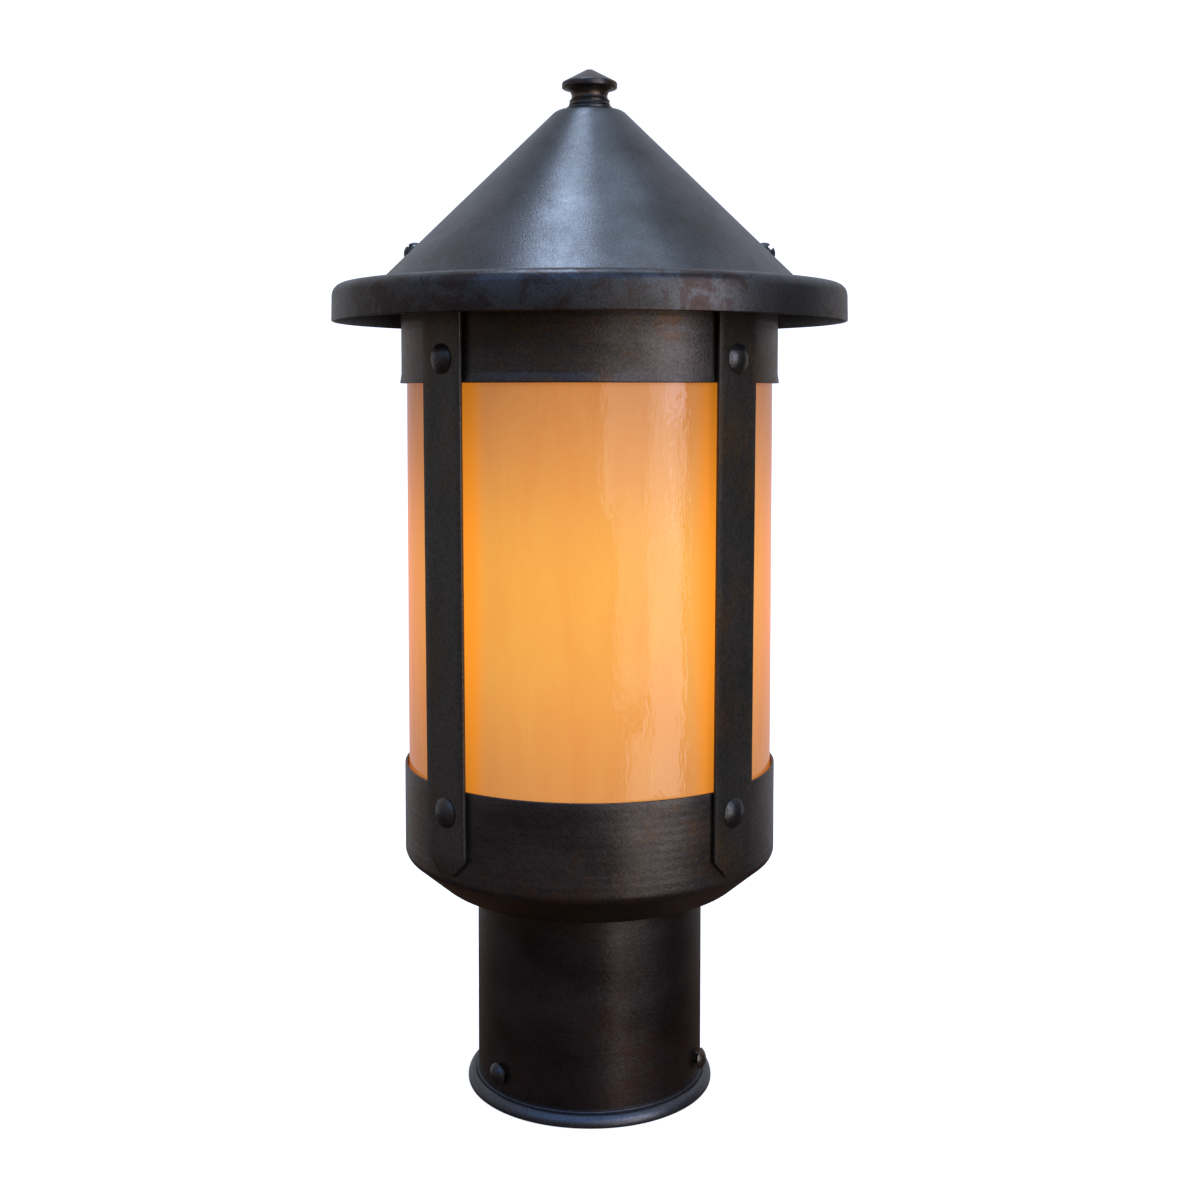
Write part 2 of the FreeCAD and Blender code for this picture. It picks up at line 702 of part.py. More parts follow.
def build_glass_top_channel():
    # an upturned channel over the glass's top edge
    turned("glass_top_channel", [
        Corner("glass_radius + solder_gap", "glass_top - channel_depth"),
        Corner("glass_radius + solder_gap + channel_wall", "glass_top - channel_depth"),
        Corner("glass_radius + solder_gap + channel_wall", "glass_top + channel_web"),
        Corner("glass_inside - solder_gap - channel_wall", "glass_top + channel_web"),
        Corner("glass_inside - solder_gap - channel_wall", "glass_top - channel_depth"),
        Corner("glass_inside - solder_gap", "glass_top - channel_depth"),
        Corner("glass_inside - solder_gap", "glass_top"),
        Corner("glass_radius + solder_gap", "glass_top"),
    ])


def beside_cone(depth, aside="0"):
    # a spot by the roof screw's axis: depth below the roof's surface, and aside down the slope
    reach = f"roof_screw_reach - ({depth}) * sin(roof_cone_angle) + ({aside}) * cos(roof_cone_angle)"
    height = f"roof_screw_seat - ({depth}) * cos(roof_cone_angle) - ({aside}) * sin(roof_cone_angle)"
    return reach, height


def screw_hole_outline():
    return [
        Corner(*beside_cone("-cut_overrun")),
        Corner(*beside_cone("cut_overrun")),
        Corner(*beside_cone("cut_overrun", "roof_screw_hole")),
        Corner(*beside_cone("-cut_overrun", "roof_screw_hole")),
    ]


def build_roof_shell():
    body = turned("roof_shell", [
        Corner("roof_radius - roof_wall", "roof_brim"),
        Corner("roof_radius", "roof_brim", rounding="rim_rounding"),
        Corner("roof_radius - roof_skirt_draft", "roof_shoulder", rounding="roof_shoulder_rounding"),
        Corner("roof_cone_radius", "roof_shoulder", rounding="roof_valley_rounding"),
        Corner("roof_top_radius", "roof_top", rounding="roof_top_rounding"),
        Corner("stud_hole", "roof_top"),
        Corner("stud_hole", "roof_top - roof_wall"),
        Corner("roof_top_radius - roof_inset", "roof_top - roof_wall",
               rounding="roof_top_rounding - roof_wall"),
        Corner("roof_cone_radius - roof_inset", "roof_shoulder - roof_wall",
               rounding="roof_valley_rounding + roof_wall"),
        Corner("roof_radius - roof_skirt_draft - roof_wall", "roof_shoulder - roof_wall",
               rounding="roof_shoulder_rounding - roof_wall"),
    ])
    hole = groove_outline(body, screw_hole_outline(), "roof_screw_hole")
    repeat_round(body, hole, 2)


def on_cone_underside(reach, depth):
    rise = f"(roof_cone_radius - ({reach})) * tan(roof_cone_angle)"
    return f"roof_shoulder + {rise} - ({depth}) / cos(roof_cone_angle)"


def build_roof_leg(label, angle):
    # bent strip: one limb under the cone behind the roof screw, the other down inside the band
    back = "leg_face_depth + leg_thickness"
    body = new_body(label)
    pad_outline(body, "XZ_Plane", [
        Corner("leg_reach - leg_thickness", "leg_foot"),
        Corner("leg_reach", "leg_foot"),
        Corner("leg_reach", on_cone_underside("leg_reach", "leg_face_depth"),
               rounding="leg_bend + leg_thickness"),
        Corner(*beside_cone("leg_face_depth", "-leg_past_screw")),
        Corner(*beside_cone(back, "-leg_past_screw")),
        Corner("leg_reach - leg_thickness", on_cone_underside("leg_reach - leg_thickness", back),
               rounding="leg_bend"),
    ], "leg_width", both_ways=True)
    groove_outline(body, screw_hole_outline(), "roof_screw_hole")
    body.Placement = turn_about_z(angle)


def on_roof_slope(angle, spin):
    # the roof screw's own frame: its axis is square to the cone, at the given angle round the roof
    seat = Vector(value("roof_screw_reach"), 0, value("roof_screw_seat"))
    tilt = Placement(seat, Rotation(Vector(0, 1, 0), value("roof_cone_angle")))
    return turn_about_z(angle) * tilt * turn_about_z(spin)


def build_roof_screw(label, angle, slot_turn):
    body = turned(label, [
        Corner("0", "-roof_screw_length"),
        Corner("roof_screw_shank_radius", "-roof_screw_length"),
        Corner("roof_screw_shank_radius", "0"),
        Corner("roof_screw_head_radius", "0",
               bow=dome_radius("roof_screw_head_radius", "roof_screw_head_height")),
        Corner("0", "roof_screw_head_height"),
    ])
    slot = draw_outline(body, "XZ_Plane", [
        Corner("-slot_width / 2", "roof_screw_head_height - slot_depth"),
        Corner("slot_width / 2", "roof_screw_head_height - slot_depth"),
        Corner("slot_width / 2", "roof_screw_head_height + cut_overrun"),
        Corner("-slot_width / 2", "roof_screw_head_height + cut_overrun"),
    ], "slot_outline")
    cut_sketch(body, slot, "slot")
    body.Placement = on_roof_slope(angle, value(slot_turn))


def build_roof_screw_nut(label, angle):
    below = value("leg_face_depth + leg_thickness + small_nut_height")
    flat_up_the_slope = HALF_TURN / HEXAGON_SIDES
    placement = on_roof_slope(angle, flat_up_the_slope) * Placement(Vector(0, 0, -below), Rotation())
    hex_nut(label, "small_nut_flats", "small_nut_height", "roof_screw_hole", placement)


def build_finial():
    bead = dome_radius("(finial_bead_height / 2)", "finial_bead_bulge")
    body = turned("finial", [
        Corner("stud_hole", "0"),
        Corner("finial_foot_radius", "0"),
        Corner("finial_foot_radius", "finial_foot_height", rounding="rim_rounding"),
        Corner("finial_neck_radius", "finial_foot_height", bow=bead),
        Corner("finial_neck_radius", "finial_bead_top"),
        Corner("finial_neck_radius", "finial_flange_bottom", rounding="finial_neck_rounding"),
        Corner("finial_flange_radius", "finial_flange_bottom", rounding="finial_flange_rounding"),
        Corner("finial_flange_radius", "finial_flange_top", rounding="finial_flange_rounding"),
        Corner("finial_tip_radius", "finial_tip_start", bow="finial_tip_round"),
        Corner("0", "finial_tip_top"),
        Corner("0", "finial_hole_depth"),
        Corner("stud_hole", "finial_hole_depth"),
    ])
    body.Placement = Placement(Vector(0, 0, value("roof_top")), Rotation())


def build_finial_fastening():
    washer_bottom = "roof_top - roof_wall - finial_washer_height"
    nut_bottom = f"{washer_bottom} - small_nut_height"
    ring("finial_washer", "stud_hole", "finial_washer_radius", washer_bottom, "finial_washer_height")
    hex_nut("finial_nut", "small_nut_flats", "small_nut_height", "stud_hole",
            Placement(Vector(0, 0, value(nut_bottom)), Rotation()))
    stud_bottom = f"{nut_bottom} - stud_end"
    stud_top = "roof_top + finial_hole_depth - stud_tip_gap"
    turned("finial_stud", [
        Corner("0", stud_bottom),
        Corner("stud_radius", stud_bottom),
        Corner("stud_radius", stud_top),
        Corner("0", stud_top),
    ])


def build_nipple_and_fastenings():
    ring("threaded_nipple", "nipple_bore", "nipple_radius", "nipple_bottom", "nipple_top - nipple_bottom")
    washer_bottom = "plate_underside - nipple_washer_height"
    ring("nipple_washer", "nipple_hole", "nipple_washer_radius", washer_bottom, "nipple_washer_height")
    for label, bottom in (("nipple_lower_nut", "lower_nut_bottom"), ("nipple_upper_nut", "cup_floor_top")):
        hex_nut(label, "nipple_nut_flats", "nipple_nut_height", "nipple_hole",
                Placement(Vector(0, 0, value(bottom)), Rotation()))


def build_wire_bushing():
    sleeve = "nipple_bore - solder_gap"
    turned("wire_bushing", [
        Corner(f"{sleeve} - bushing_wall", "nipple_bottom - bushing_flange_height"),
        Corner("bushing_flange_radius", "nipple_bottom - bushing_flange_height"),
        Corner("bushing_flange_radius", "nipple_bottom"),
        Corner(sleeve, "nipple_bottom"),
        Corner(sleeve, "nipple_bottom + bushing_length"),
        Corner(f"{sleeve} - bushing_wall", "nipple_bottom + bushing_length"),
    ])


def build_earth_screw():
    head = "earth_screw_head_height"
    end = "cup_floor_top - plate_underside + earth_screw_end"
    body = turned("earth_screw", [
        Corner("0", f"-{head}"),
        Corner("earth_screw_head_radius", f"-{head}", rounding="rim_rounding"),
        Corner("earth_screw_head_radius", "0"),
        Corner("earth_screw_shank_radius", "0"),
        Corner("earth_screw_shank_radius", end),
        Corner("0", end),
    ])
    seat = Placement(Vector(0, value("earth_screw_reach"), value("plate_underside")), Rotation())
    body.Placement = turn_about_z(value("strap_first_angle")) * seat


def lift(height):
    return Placement(Vector(0, 0, value(height)), Rotation())


def holder_screw_middles():
    return [("0", "holder_screw_reach"), ("0", "-holder_screw_reach")]


def build_lampholder_cap():
    body = turned("lampholder_cap", [
        Corner("nipple_hole", "0"),
        Corner("holder_cap_radius", "0"),
        Corner("holder_cap_radius", "holder_cap_height", rounding="rim_rounding"),
        Corner("nipple_hole", "holder_cap_height"),
    ])
    upright_holes(body, holder_screw_middles(), "holder_screw_hole", "screw_holes")
    body.Placement = lift("holder_cap_bottom")


def build_lampholder_body():
    # porcelain, with a bore for the screw shell above and a recess for the nipple's end below
    body = turned("lampholder_body", [
        Corner("holder_recess_radius", "0"),
        Corner("holder_base_radius", "0", rounding="holder_rounding"),
        Corner("holder_base_radius", "holder_base_height"),
        Corner("holder_body_radius", "holder_base_height + holder_step_height"),
        Corner("holder_body_radius", "holder_height", rounding="holder_rounding"),
        Corner("holder_bore", "holder_height"),
        Corner("holder_bore", "holder_floor_height"),
        Corner("0", "holder_floor_height"),
        Corner("0", "holder_recess_depth"),
        Corner("holder_recess_radius", "holder_recess_depth"),
    ])
    upright_holes(body, holder_screw_middles(), "holder_screw_hole", "screw_holes",
                  depth="holder_screw_bite + seat_gap")
    hole_end = "terminal_seat - terminal_bite - seat_gap"
    terminal = groove_outline(body, [
        Corner(hole_end, "terminal_height"),
        Corner("terminal_seat + cut_overrun", "terminal_height"),
        Corner("terminal_seat + cut_overrun", "terminal_height + terminal_hole"),
        Corner(hole_end, "terminal_height + terminal_hole"),
    ], "terminal_hole")
    repeat_round(body, terminal, 2)
    body.Placement = lift("holder_bottom")


def build_lampholder_cap_screws():
    # heads under the cap, shanks up into the porcelain
    body = new_body("lampholder_cap_screws")
    middles = holder_screw_middles()
    heads = body.newObject("PartDesign::Pad", "heads")
    heads.Profile = draw_circles(body, "XY_Plane", middles, "holder_screw_head_radius", "head_circles")
    heads.Reversed = True
    heads.setExpression("Length", spell("holder_screw_head_height"))
    finish_feature(body, heads)
    shanks = body.newObject("PartDesign::Pad", "shanks")
    shanks.Profile = draw_circles(body, "XY_Plane", middles, "holder_screw_shank_radius", "shank_circles")
    shanks.setExpression("Length", spell("holder_screw_length"))
    finish_feature(body, shanks)
    body.Placement = lift("holder_cap_bottom")


def build_lampholder_shell():
    inside = "shell_radius - shell_wall"
    turned("lampholder_screw_shell", [
        Corner("shell_floor_hole", "holder_floor"),
        Corner("shell_radius", "holder_floor"),
        Corner("shell_radius", "holder_top - shell_top_drop"),
        Corner(inside, "holder_top - shell_top_drop"),
        Corner(inside, "holder_floor + shell_wall"),
        Corner("shell_floor_hole", "holder_floor + shell_wall"),
    ])


def build_lampholder_contact():
    turned("lampholder_centre_contact", [
        Corner("0", "holder_floor"),
        Corner("contact_radius", "holder_floor"),
        Corner("contact_radius", "holder_floor + contact_plate_height"),
        Corner("contact_tip_radius", "holder_floor + contact_plate_height"),
        Corner("contact_tip_radius", "holder_floor + contact_height"),
        Corner("0", "holder_floor + contact_height"),
    ])


def build_terminal_screw(label, angle):
    body = turned(label, [
        Corner("0", "terminal_seat - terminal_bite"),
        Corner("terminal_shank_radius", "terminal_seat - terminal_bite"),
        Corner("terminal_shank_radius", "terminal_seat"),
        Corner("terminal_head_radius", "terminal_seat"),
        Corner("terminal_head_radius", "terminal_seat + terminal_head_height", rounding="rim_rounding"),
        Corner("0", "terminal_seat + terminal_head_height"),
    ])
    height = value("holder_bottom + terminal_height")
    lying = Placement(Vector(0, 0, height), Rotation(Vector(0, 1, 0), QUARTER_TURN))
    body.Placement = turn_about_z(angle) * lying


def build_lamp_base():
    turned("lamp_contact", [
        Corner("0", "lamp_tip", bow=dome_radius("lamp_contact_radius", "lamp_contact_dome")),
        Corner("lamp_contact_radius", "lamp_tip + lamp_contact_dome"),
        Corner("lamp_contact_radius", "lamp_insulator_bottom"),
        Corner("0", "lamp_insulator_bottom"),
    ])
    turned("lamp_insulator", [
        Corner("0", "lamp_insulator_bottom"),
        Corner("lamp_contact_radius", "lamp_insulator_bottom"),
        Corner("lamp_insulator_radius", "lamp_insulator_top - lamp_insulator_edge"),
        Corner("lamp_insulator_radius", "lamp_insulator_top"),
        Corner("0", "lamp_insulator_top"),
    ])
    turned("lamp_screw_cap", [
        Corner("lamp_cap_radius - lamp_cap_wall", "lamp_cap_bottom"),
        Corner("lamp_cap_radius", "lamp_cap_bottom + lamp_cap_bevel"),
        Corner("lamp_cap_radius", "lamp_cap_top"),
        Corner("lamp_cap_radius - lamp_cap_wall", "lamp_cap_top"),
    ])


def build_lamp_glass():
    # a ball with a straight neck that runs tangent into it
    inside = "(lamp_globe_radius - lamp_glass_wall)"
    turned("lamp_envelope", [
        Corner("lamp_neck_radius", "lamp_neck"),
        Corner("lamp_globe_radius * sin(lamp_swing)", "lamp_middle + lamp_globe_radius * cos(lamp_swing)",
               bow="lamp_globe_radius"),
        Corner("0", "lamp_middle + lamp_globe_radius"),
        Corner("0", f"lamp_middle + {inside}", bow=inside, hollow=True),
        Corner(f"{inside} * sin(lamp_swing)", f"lamp_middle + {inside} * cos(lamp_swing)"),
        Corner("lamp_neck_radius - lamp_glass_wall * sin(lamp_swing)",
               "lamp_neck - lamp_glass_wall * cos(lamp_swing)"),
    ])
    turned("lamp_stem", [
        Corner("0", "stem_bottom"),
        Corner("stem_foot_radius", "stem_bottom"),
        Corner("stem_foot_radius", "stem_bottom + stem_foot_edge"),
        Corner("stem_radius", "stem_bottom + stem_foot_height"),
        Corner("stem_radius", "stem_top"),
        Corner("0", "stem_top"),
    ])


def build_lamp_wires():
    leads = []
    for side, lean in (("right", value("lead_lean")), ("left", -value("lead_lean"))):
        lead = document.addObject("Part::Cylinder", f"lead_{side}")
        lead.setExpression("Radius", spell("lead_radius"))
        lead.setExpression("Height", spell("(lamp_middle - lead_bottom) / cos(lead_lean)"))
        reach = math.copysign(value("lead_foot_reach"), lean)
        lead.Placement = Placement(Vector(reach, 0, value("lead_bottom")), Rotation(Vector(0, 1, 0), lean))
        leads.append(lead)
    pair = document.addObject("Part::Compound", "lamp_lead_wires")
    pair.Label = "lamp_lead_wires"
    pair.Links = leads
    finished.append(pair)
    filament = document.addObject("Part::Cylinder", "lamp_filament")
    filament.Label = "lamp_filament"
    filament.setExpression("Radius", spell("filament_radius"))
    filament.setExpression("Height", spell("2 * lead_tip_reach"))
    height = value("lamp_middle + filament_radius + seat_gap")
    across = Vector(-value("lead_tip_reach"), 0, height)
    filament.Placement = Placement(across, Rotation(Vector(0, 1, 0), QUARTER_TURN))
    finished.append(filament)


def build_light():
    build_post_fitter()
    build_fitter_plate()
    for number in range(SET_SCREWS):
        build_set_screw(number)
    build_lower_cup()
    build_top_band()
    for number, place in enumerate(("back_right", "back_left", "front_left", "front_right")):
        build_strap(f"strap_{place}", value("strap_first_angle") + QUARTER_TURN * number)
    build_strap_rivets("cup_rivets", "cup_rivet", "cup_inside")
    build_strap_rivets("band_rivets", "band_rivet", "band_inside")
    build_glass_seat_ring()
    build_glass_cylinder()
    build_glass_top_channel()
    build_roof_shell()
    for side, angle in (("right", 0), ("left", HALF_TURN)):
        build_roof_leg(f"roof_leg_{side}", angle)
        build_roof_screw(f"roof_screw_{side}", angle, f"{side}_slot_turn")
        build_roof_screw_nut(f"roof_screw_nut_{side}", angle)
    build_finial()
    build_finial_fastening()
    build_nipple_and_fastenings()
    build_wire_bushing()
    build_earth_screw()
    build_lampholder_cap()
    build_lampholder_body()
    build_lampholder_cap_screws()
    build_lampholder_shell()
    build_lampholder_contact()
    for label, angle in (("line_terminal_screw", 0), ("neutral_terminal_screw", HALF_TURN)):
        build_terminal_screw(label, angle)
    build_lamp_base()
    build_lamp_glass()
    build_lamp_wires()


def check_pieces():
    document.recompute()
    for item in document.Objects:
        if "Invalid" in item.State or "Error" in item.State:
            raise RuntimeError(f"{item.Label} failed: {item.State}")
    for piece in finished:
        if piece.Shape.isNull() or not piece.Shape.isValid():
            raise RuntimeError(f"{piece.Label} has no valid shape")


def write_pieces():
    os.makedirs("parts", exist_ok=True)
    for piece in finished:
        piece.Shape.exportStep(f"parts/{piece.Label}.step")
    print(f"{len(finished)} pieces written")


fill_sheet()
build_light()
check_pieces()
write_pieces()
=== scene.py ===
import math
import bmesh
import bpy
from mathutils import Matrix, Vector


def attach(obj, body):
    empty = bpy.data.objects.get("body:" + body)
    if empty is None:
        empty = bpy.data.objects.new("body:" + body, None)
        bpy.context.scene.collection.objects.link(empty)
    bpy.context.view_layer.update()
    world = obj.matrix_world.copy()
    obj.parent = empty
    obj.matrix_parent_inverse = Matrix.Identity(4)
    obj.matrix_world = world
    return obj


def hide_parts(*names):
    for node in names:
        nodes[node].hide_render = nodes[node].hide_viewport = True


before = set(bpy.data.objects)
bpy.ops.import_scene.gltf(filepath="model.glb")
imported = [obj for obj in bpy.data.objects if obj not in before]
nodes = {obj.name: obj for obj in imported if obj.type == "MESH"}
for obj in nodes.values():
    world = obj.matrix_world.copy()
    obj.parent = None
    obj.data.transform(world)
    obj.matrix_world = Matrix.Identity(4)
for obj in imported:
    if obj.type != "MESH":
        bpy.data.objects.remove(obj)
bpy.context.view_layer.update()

# Outdoor post light: patinated bronze round a cylinder of streaky amber glass.
# Metres, +Z up. The origin is the middle of the post fitter's foot, and the photograph looks along +Y.
# Sizes in the dictionaries below are in millimetres and angles in degrees, unless a note says otherwise.

mm = 0.001


def hexColour(text):
    # sRGB hex, turned linear
    parts = [int(text[i:i + 2], 16) / 255 for i in (0, 2, 4)]
    return tuple(c / 12.92 if c <= 0.04045 else ((c + 0.055) / 1.055) ** 2.4 for c in parts) + (1.0,)


def feed(node, inputs):
    # sets or links a node's inputs; a whole node given as a source is read from its first output
    for socket, source in inputs.items():
        if isinstance(source, bpy.types.Node):
            source = source.outputs[0]
        if isinstance(source, bpy.types.NodeSocket):
            node.id_data.links.new(source, node.inputs[socket])
        else:
            node.inputs[socket].default_value = source


def addNode(tree, kind, inputs=None, ramp=(), **settings):
    node = tree.nodes.new("ShaderNode" + kind)
    for name, setting in settings.items():
        setattr(node, name, setting)
    feed(node, inputs or {})
    for number, (position, colour) in enumerate(ramp):
        stops = node.color_ramp.elements
        stop = stops[number] if number < 2 else stops.new(position)
        stop.position, stop.color = position, colour
    return node


def newMaterial(name, **values):
    # hands back the material, its tree, its shader and the Object coordinates
    material = bpy.data.materials.new(name)
    material.use_nodes = True
    tree = material.node_tree
    shader = tree.nodes["Principled BSDF"]
    feed(shader, {socket.replace("_", " "): setting for socket, setting in values.items()})
    return material, tree, shader, addNode(tree, "TexCoord").outputs["Object"]


def selectOnly(piece):
    bpy.ops.object.select_all(action="DESELECT")
    piece.select_set(True)
    bpy.context.view_layer.objects.active = piece


def pick(kind, test):
    # in edit mode, selects the points or edges whose middle (in mm) passes the test
    bpy.ops.mesh.select_mode(type=kind)
    bpy.ops.mesh.select_all(action="DESELECT")
    mesh = bmesh.from_edit_mesh(bpy.context.object.data)
    for part in {"VERT": mesh.verts, "EDGE": mesh.edges}[kind]:
        points = [part] if kind == "VERT" else part.verts
        middle = sum((point.co for point in points), Vector()) / len(points) / mm
        if test(middle, part):
            part.select_set(True)
    bmesh.update_edit_mesh(bpy.context.object.data)


def drawChain(name, outline):
    # one point beside the axis, drawn on into a chain of (radius, height) in mm
    bpy.ops.object.select_all(action="DESELECT")
    bpy.ops.mesh.primitive_plane_add(size=mm)
    piece = bpy.context.object
    piece.name = piece.data.name = name
    bpy.ops.object.mode_set(mode="EDIT")
    bpy.ops.mesh.select_mode(type="VERT")
    bpy.ops.mesh.select_all(action="SELECT")
    bpy.ops.mesh.merge(type="CENTER")
    spots = [Vector((spot[0], 0, spot[1])) * mm for spot in outline]
    bpy.ops.transform.translate(value=spots[0])
    for here, there in zip(spots, spots[1:]):
        bpy.ops.mesh.extrude_region_move(TRANSFORM_OT_translate={"value": there - here})
    return piece, spots


def closeUp(piece, smooth=35):
    # welds, turns the faces outwards and shades the turned shape
    bpy.ops.mesh.select_all(action="SELECT")
    bpy.ops.mesh.remove_doubles(threshold=0.001 * mm)
    bpy.ops.mesh.normals_make_consistent(inside=False)
    bpy.ops.object.mode_set(mode="OBJECT")
    return shadeSmooth(piece, smooth)


def shadeSmooth(piece, angle):
    selectOnly(piece)
    bpy.ops.object.shade_smooth_by_angle(angle=math.radians(angle))
    return piece


def spinPiece(name, outline, steps, pitch=None, skin=False):
    # half of the section spun round +Z. A third number at a corner is its radius, pitch cuts long sides up
    # so that they can be dented later, and a skin is left an open sheet
    piece, spots = drawChain(name, outline)
    if outline[0][0] > 0 and not skin:
        pick("VERT", lambda at, point: len(point.link_edges) == 1)
        bpy.ops.mesh.edge_face_add()
    for number, spot in enumerate(outline):
        if len(spot) > 2:
            back, ahead = spots[number - 1] - spots[number], spots[(number + 1) % len(spots)] - spots[number]
            trim = spot[2] * mm / math.tan(back.angle(ahead) / 2)
            pick("VERT", lambda at, point: (at * mm - spots[number]).length < 0.001 * mm)
            bpy.ops.mesh.bevel(offset=trim, segments=5, affect="VERTICES")
    while pitch:
        pick("EDGE", lambda at, edge: edge.calc_length() > pitch * mm)
        if not any(edge.select for edge in bmesh.from_edit_mesh(piece.data).edges):
            break
        bpy.ops.mesh.subdivide(number_cuts=1)
    bpy.ops.mesh.select_mode(type="VERT")
    bpy.ops.mesh.select_all(action="SELECT")
    bpy.ops.mesh.spin(steps=steps, angle=math.tau, center=(0, 0, 0), axis=(0, 0, 1))
    return closeUp(piece)


def dome(radius, rise, base, count):
    # points from the rim of a domed head to its pole
    ball = (radius ** 2 + rise ** 2) / (2 * rise)
    steepest = math.asin(min(radius / ball, 1)) if rise <= radius else math.pi - math.asin(radius / ball)
    turns = [steepest * (1 - number / (count - 1)) for number in range(count)]
    return [(ball * math.sin(turn), base + rise - ball * (1 - math.cos(turn))) for turn in turns]


def cutThread(name, radius, pitch, depth, bottom, top, rounded=False, steps=32):
    # one tooth wound up the axis and trimmed flat at both ends
    count = 8 if rounded else 2
    tooth = []
    for number in range(count + 1):
        inwards = depth * (1 + math.cos(math.tau * number / count)) / 2
        tooth.append((radius - inwards, bottom + pitch * (number / count - 1)))
    piece, _ = drawChain(name, tooth)
    bpy.ops.object.mode_set(mode="OBJECT")
    winding = piece.modifiers.new("winding", "SCREW")
    winding.screw_offset = pitch * mm
    winding.iterations = math.ceil((top - bottom) / pitch) + 2
    winding.steps = winding.render_steps = steps
    applyModifiers(piece)
    bpy.ops.object.mode_set(mode="EDIT")
    bpy.ops.mesh.select_all(action="SELECT")
    bpy.ops.mesh.remove_doubles(threshold=0.001 * mm)
    for height, above in ((bottom, False), (top, True)):
        bpy.ops.mesh.select_all(action="SELECT")
        bpy.ops.mesh.bisect(plane_co=(0, 0, height * mm), plane_no=(0, 0, 1), use_fill=True,
                            clear_outer=above, clear_inner=not above)
    return closeUp(piece)


def applyModifiers(piece):
    selectOnly(piece)
    for modifier in list(piece.modifiers):
        bpy.ops.object.modifier_apply(modifier=modifier.name)


def dent(piece, depth, size, stretch=1.0):
    # worked metal and drawn glass are never quite true: soft hollows, pressed inwards only
    clouds = bpy.data.textures.new(piece.name + "Hollows", type="CLOUDS")
    clouds.noise_scale = size * mm
    clouds.noise_depth = 1
    squeezeHeight(1 / stretch)
    hollows = piece.modifiers.new("hollows", "DISPLACE")
    hollows.texture = clouds
    hollows.strength = depth * mm
    hollows.mid_level = 1.0
    applyModifiers(piece)
    squeezeHeight(stretch)


def squeezeHeight(factor):
    bpy.ops.object.mode_set(mode="EDIT")
    bpy.ops.mesh.select_all(action="SELECT")
    bpy.ops.transform.resize(value=(1, 1, factor), center_override=(0, 0, 0))
    bpy.ops.object.mode_set(mode="OBJECT")


def cutAway(piece, tool, keep="DIFFERENCE"):
    cut = piece.modifiers.new("cut", "BOOLEAN")
    cut.operation = keep
    cut.object = tool
    cut.solver = "EXACT"
    applyModifiers(piece)
    bpy.data.objects.remove(tool)


def applyPlace(piece):
    selectOnly(piece)
    bpy.ops.object.transform_apply(location=True, rotation=True, scale=True)
    return piece


def place(piece, matrix):
    piece.matrix_world = matrix
    return applyPlace(piece)


def copyTo(piece, name, matrix):
    twin = piece.copy()
    twin.data = piece.data.copy()
    twin.name = twin.data.name = name
    bpy.context.collection.objects.link(twin)
    return place(twin, matrix)


def joinInto(piece, others):
    selectOnly(piece)
    for other in others:
        other.select_set(True)
    bpy.ops.object.join()
    return piece


def along(x=0.0, y=0.0, z=0.0):
    return Matrix.Translation(Vector((x, y, z)) * mm)


def around(angle, axis="Z"):
    return Matrix.Rotation(math.radians(angle), 4, axis)


def outwards(angle, height):
    # lays a piece made along +Z out along the radius at this angle
    return around(angle) @ along(z=height) @ around(90, "Y")


def finish(piece, material, body, slot, *replaced):
    piece.data.materials.clear()
    piece.data.materials.append(material)
    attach(piece, body)
    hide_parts(*replaced)


camera = {
    "place": (0, -551.1, 246.8),
    "lookDown": 3.287,  # below level
    "lens": 46.73,
    "shift": (0.0087, -0.1001),
}
bpy.ops.object.select_all(action="DESELECT")
bpy.ops.object.camera_add(location=Vector(camera["place"]) * mm,
                          rotation=(math.radians(90 - camera["lookDown"]), 0, 0))
bpy.context.object.data.lens = camera["lens"]
bpy.context.object.data.shift_x, bpy.context.object.data.shift_y = camera["shift"]
bpy.context.scene.camera = bpy.context.object

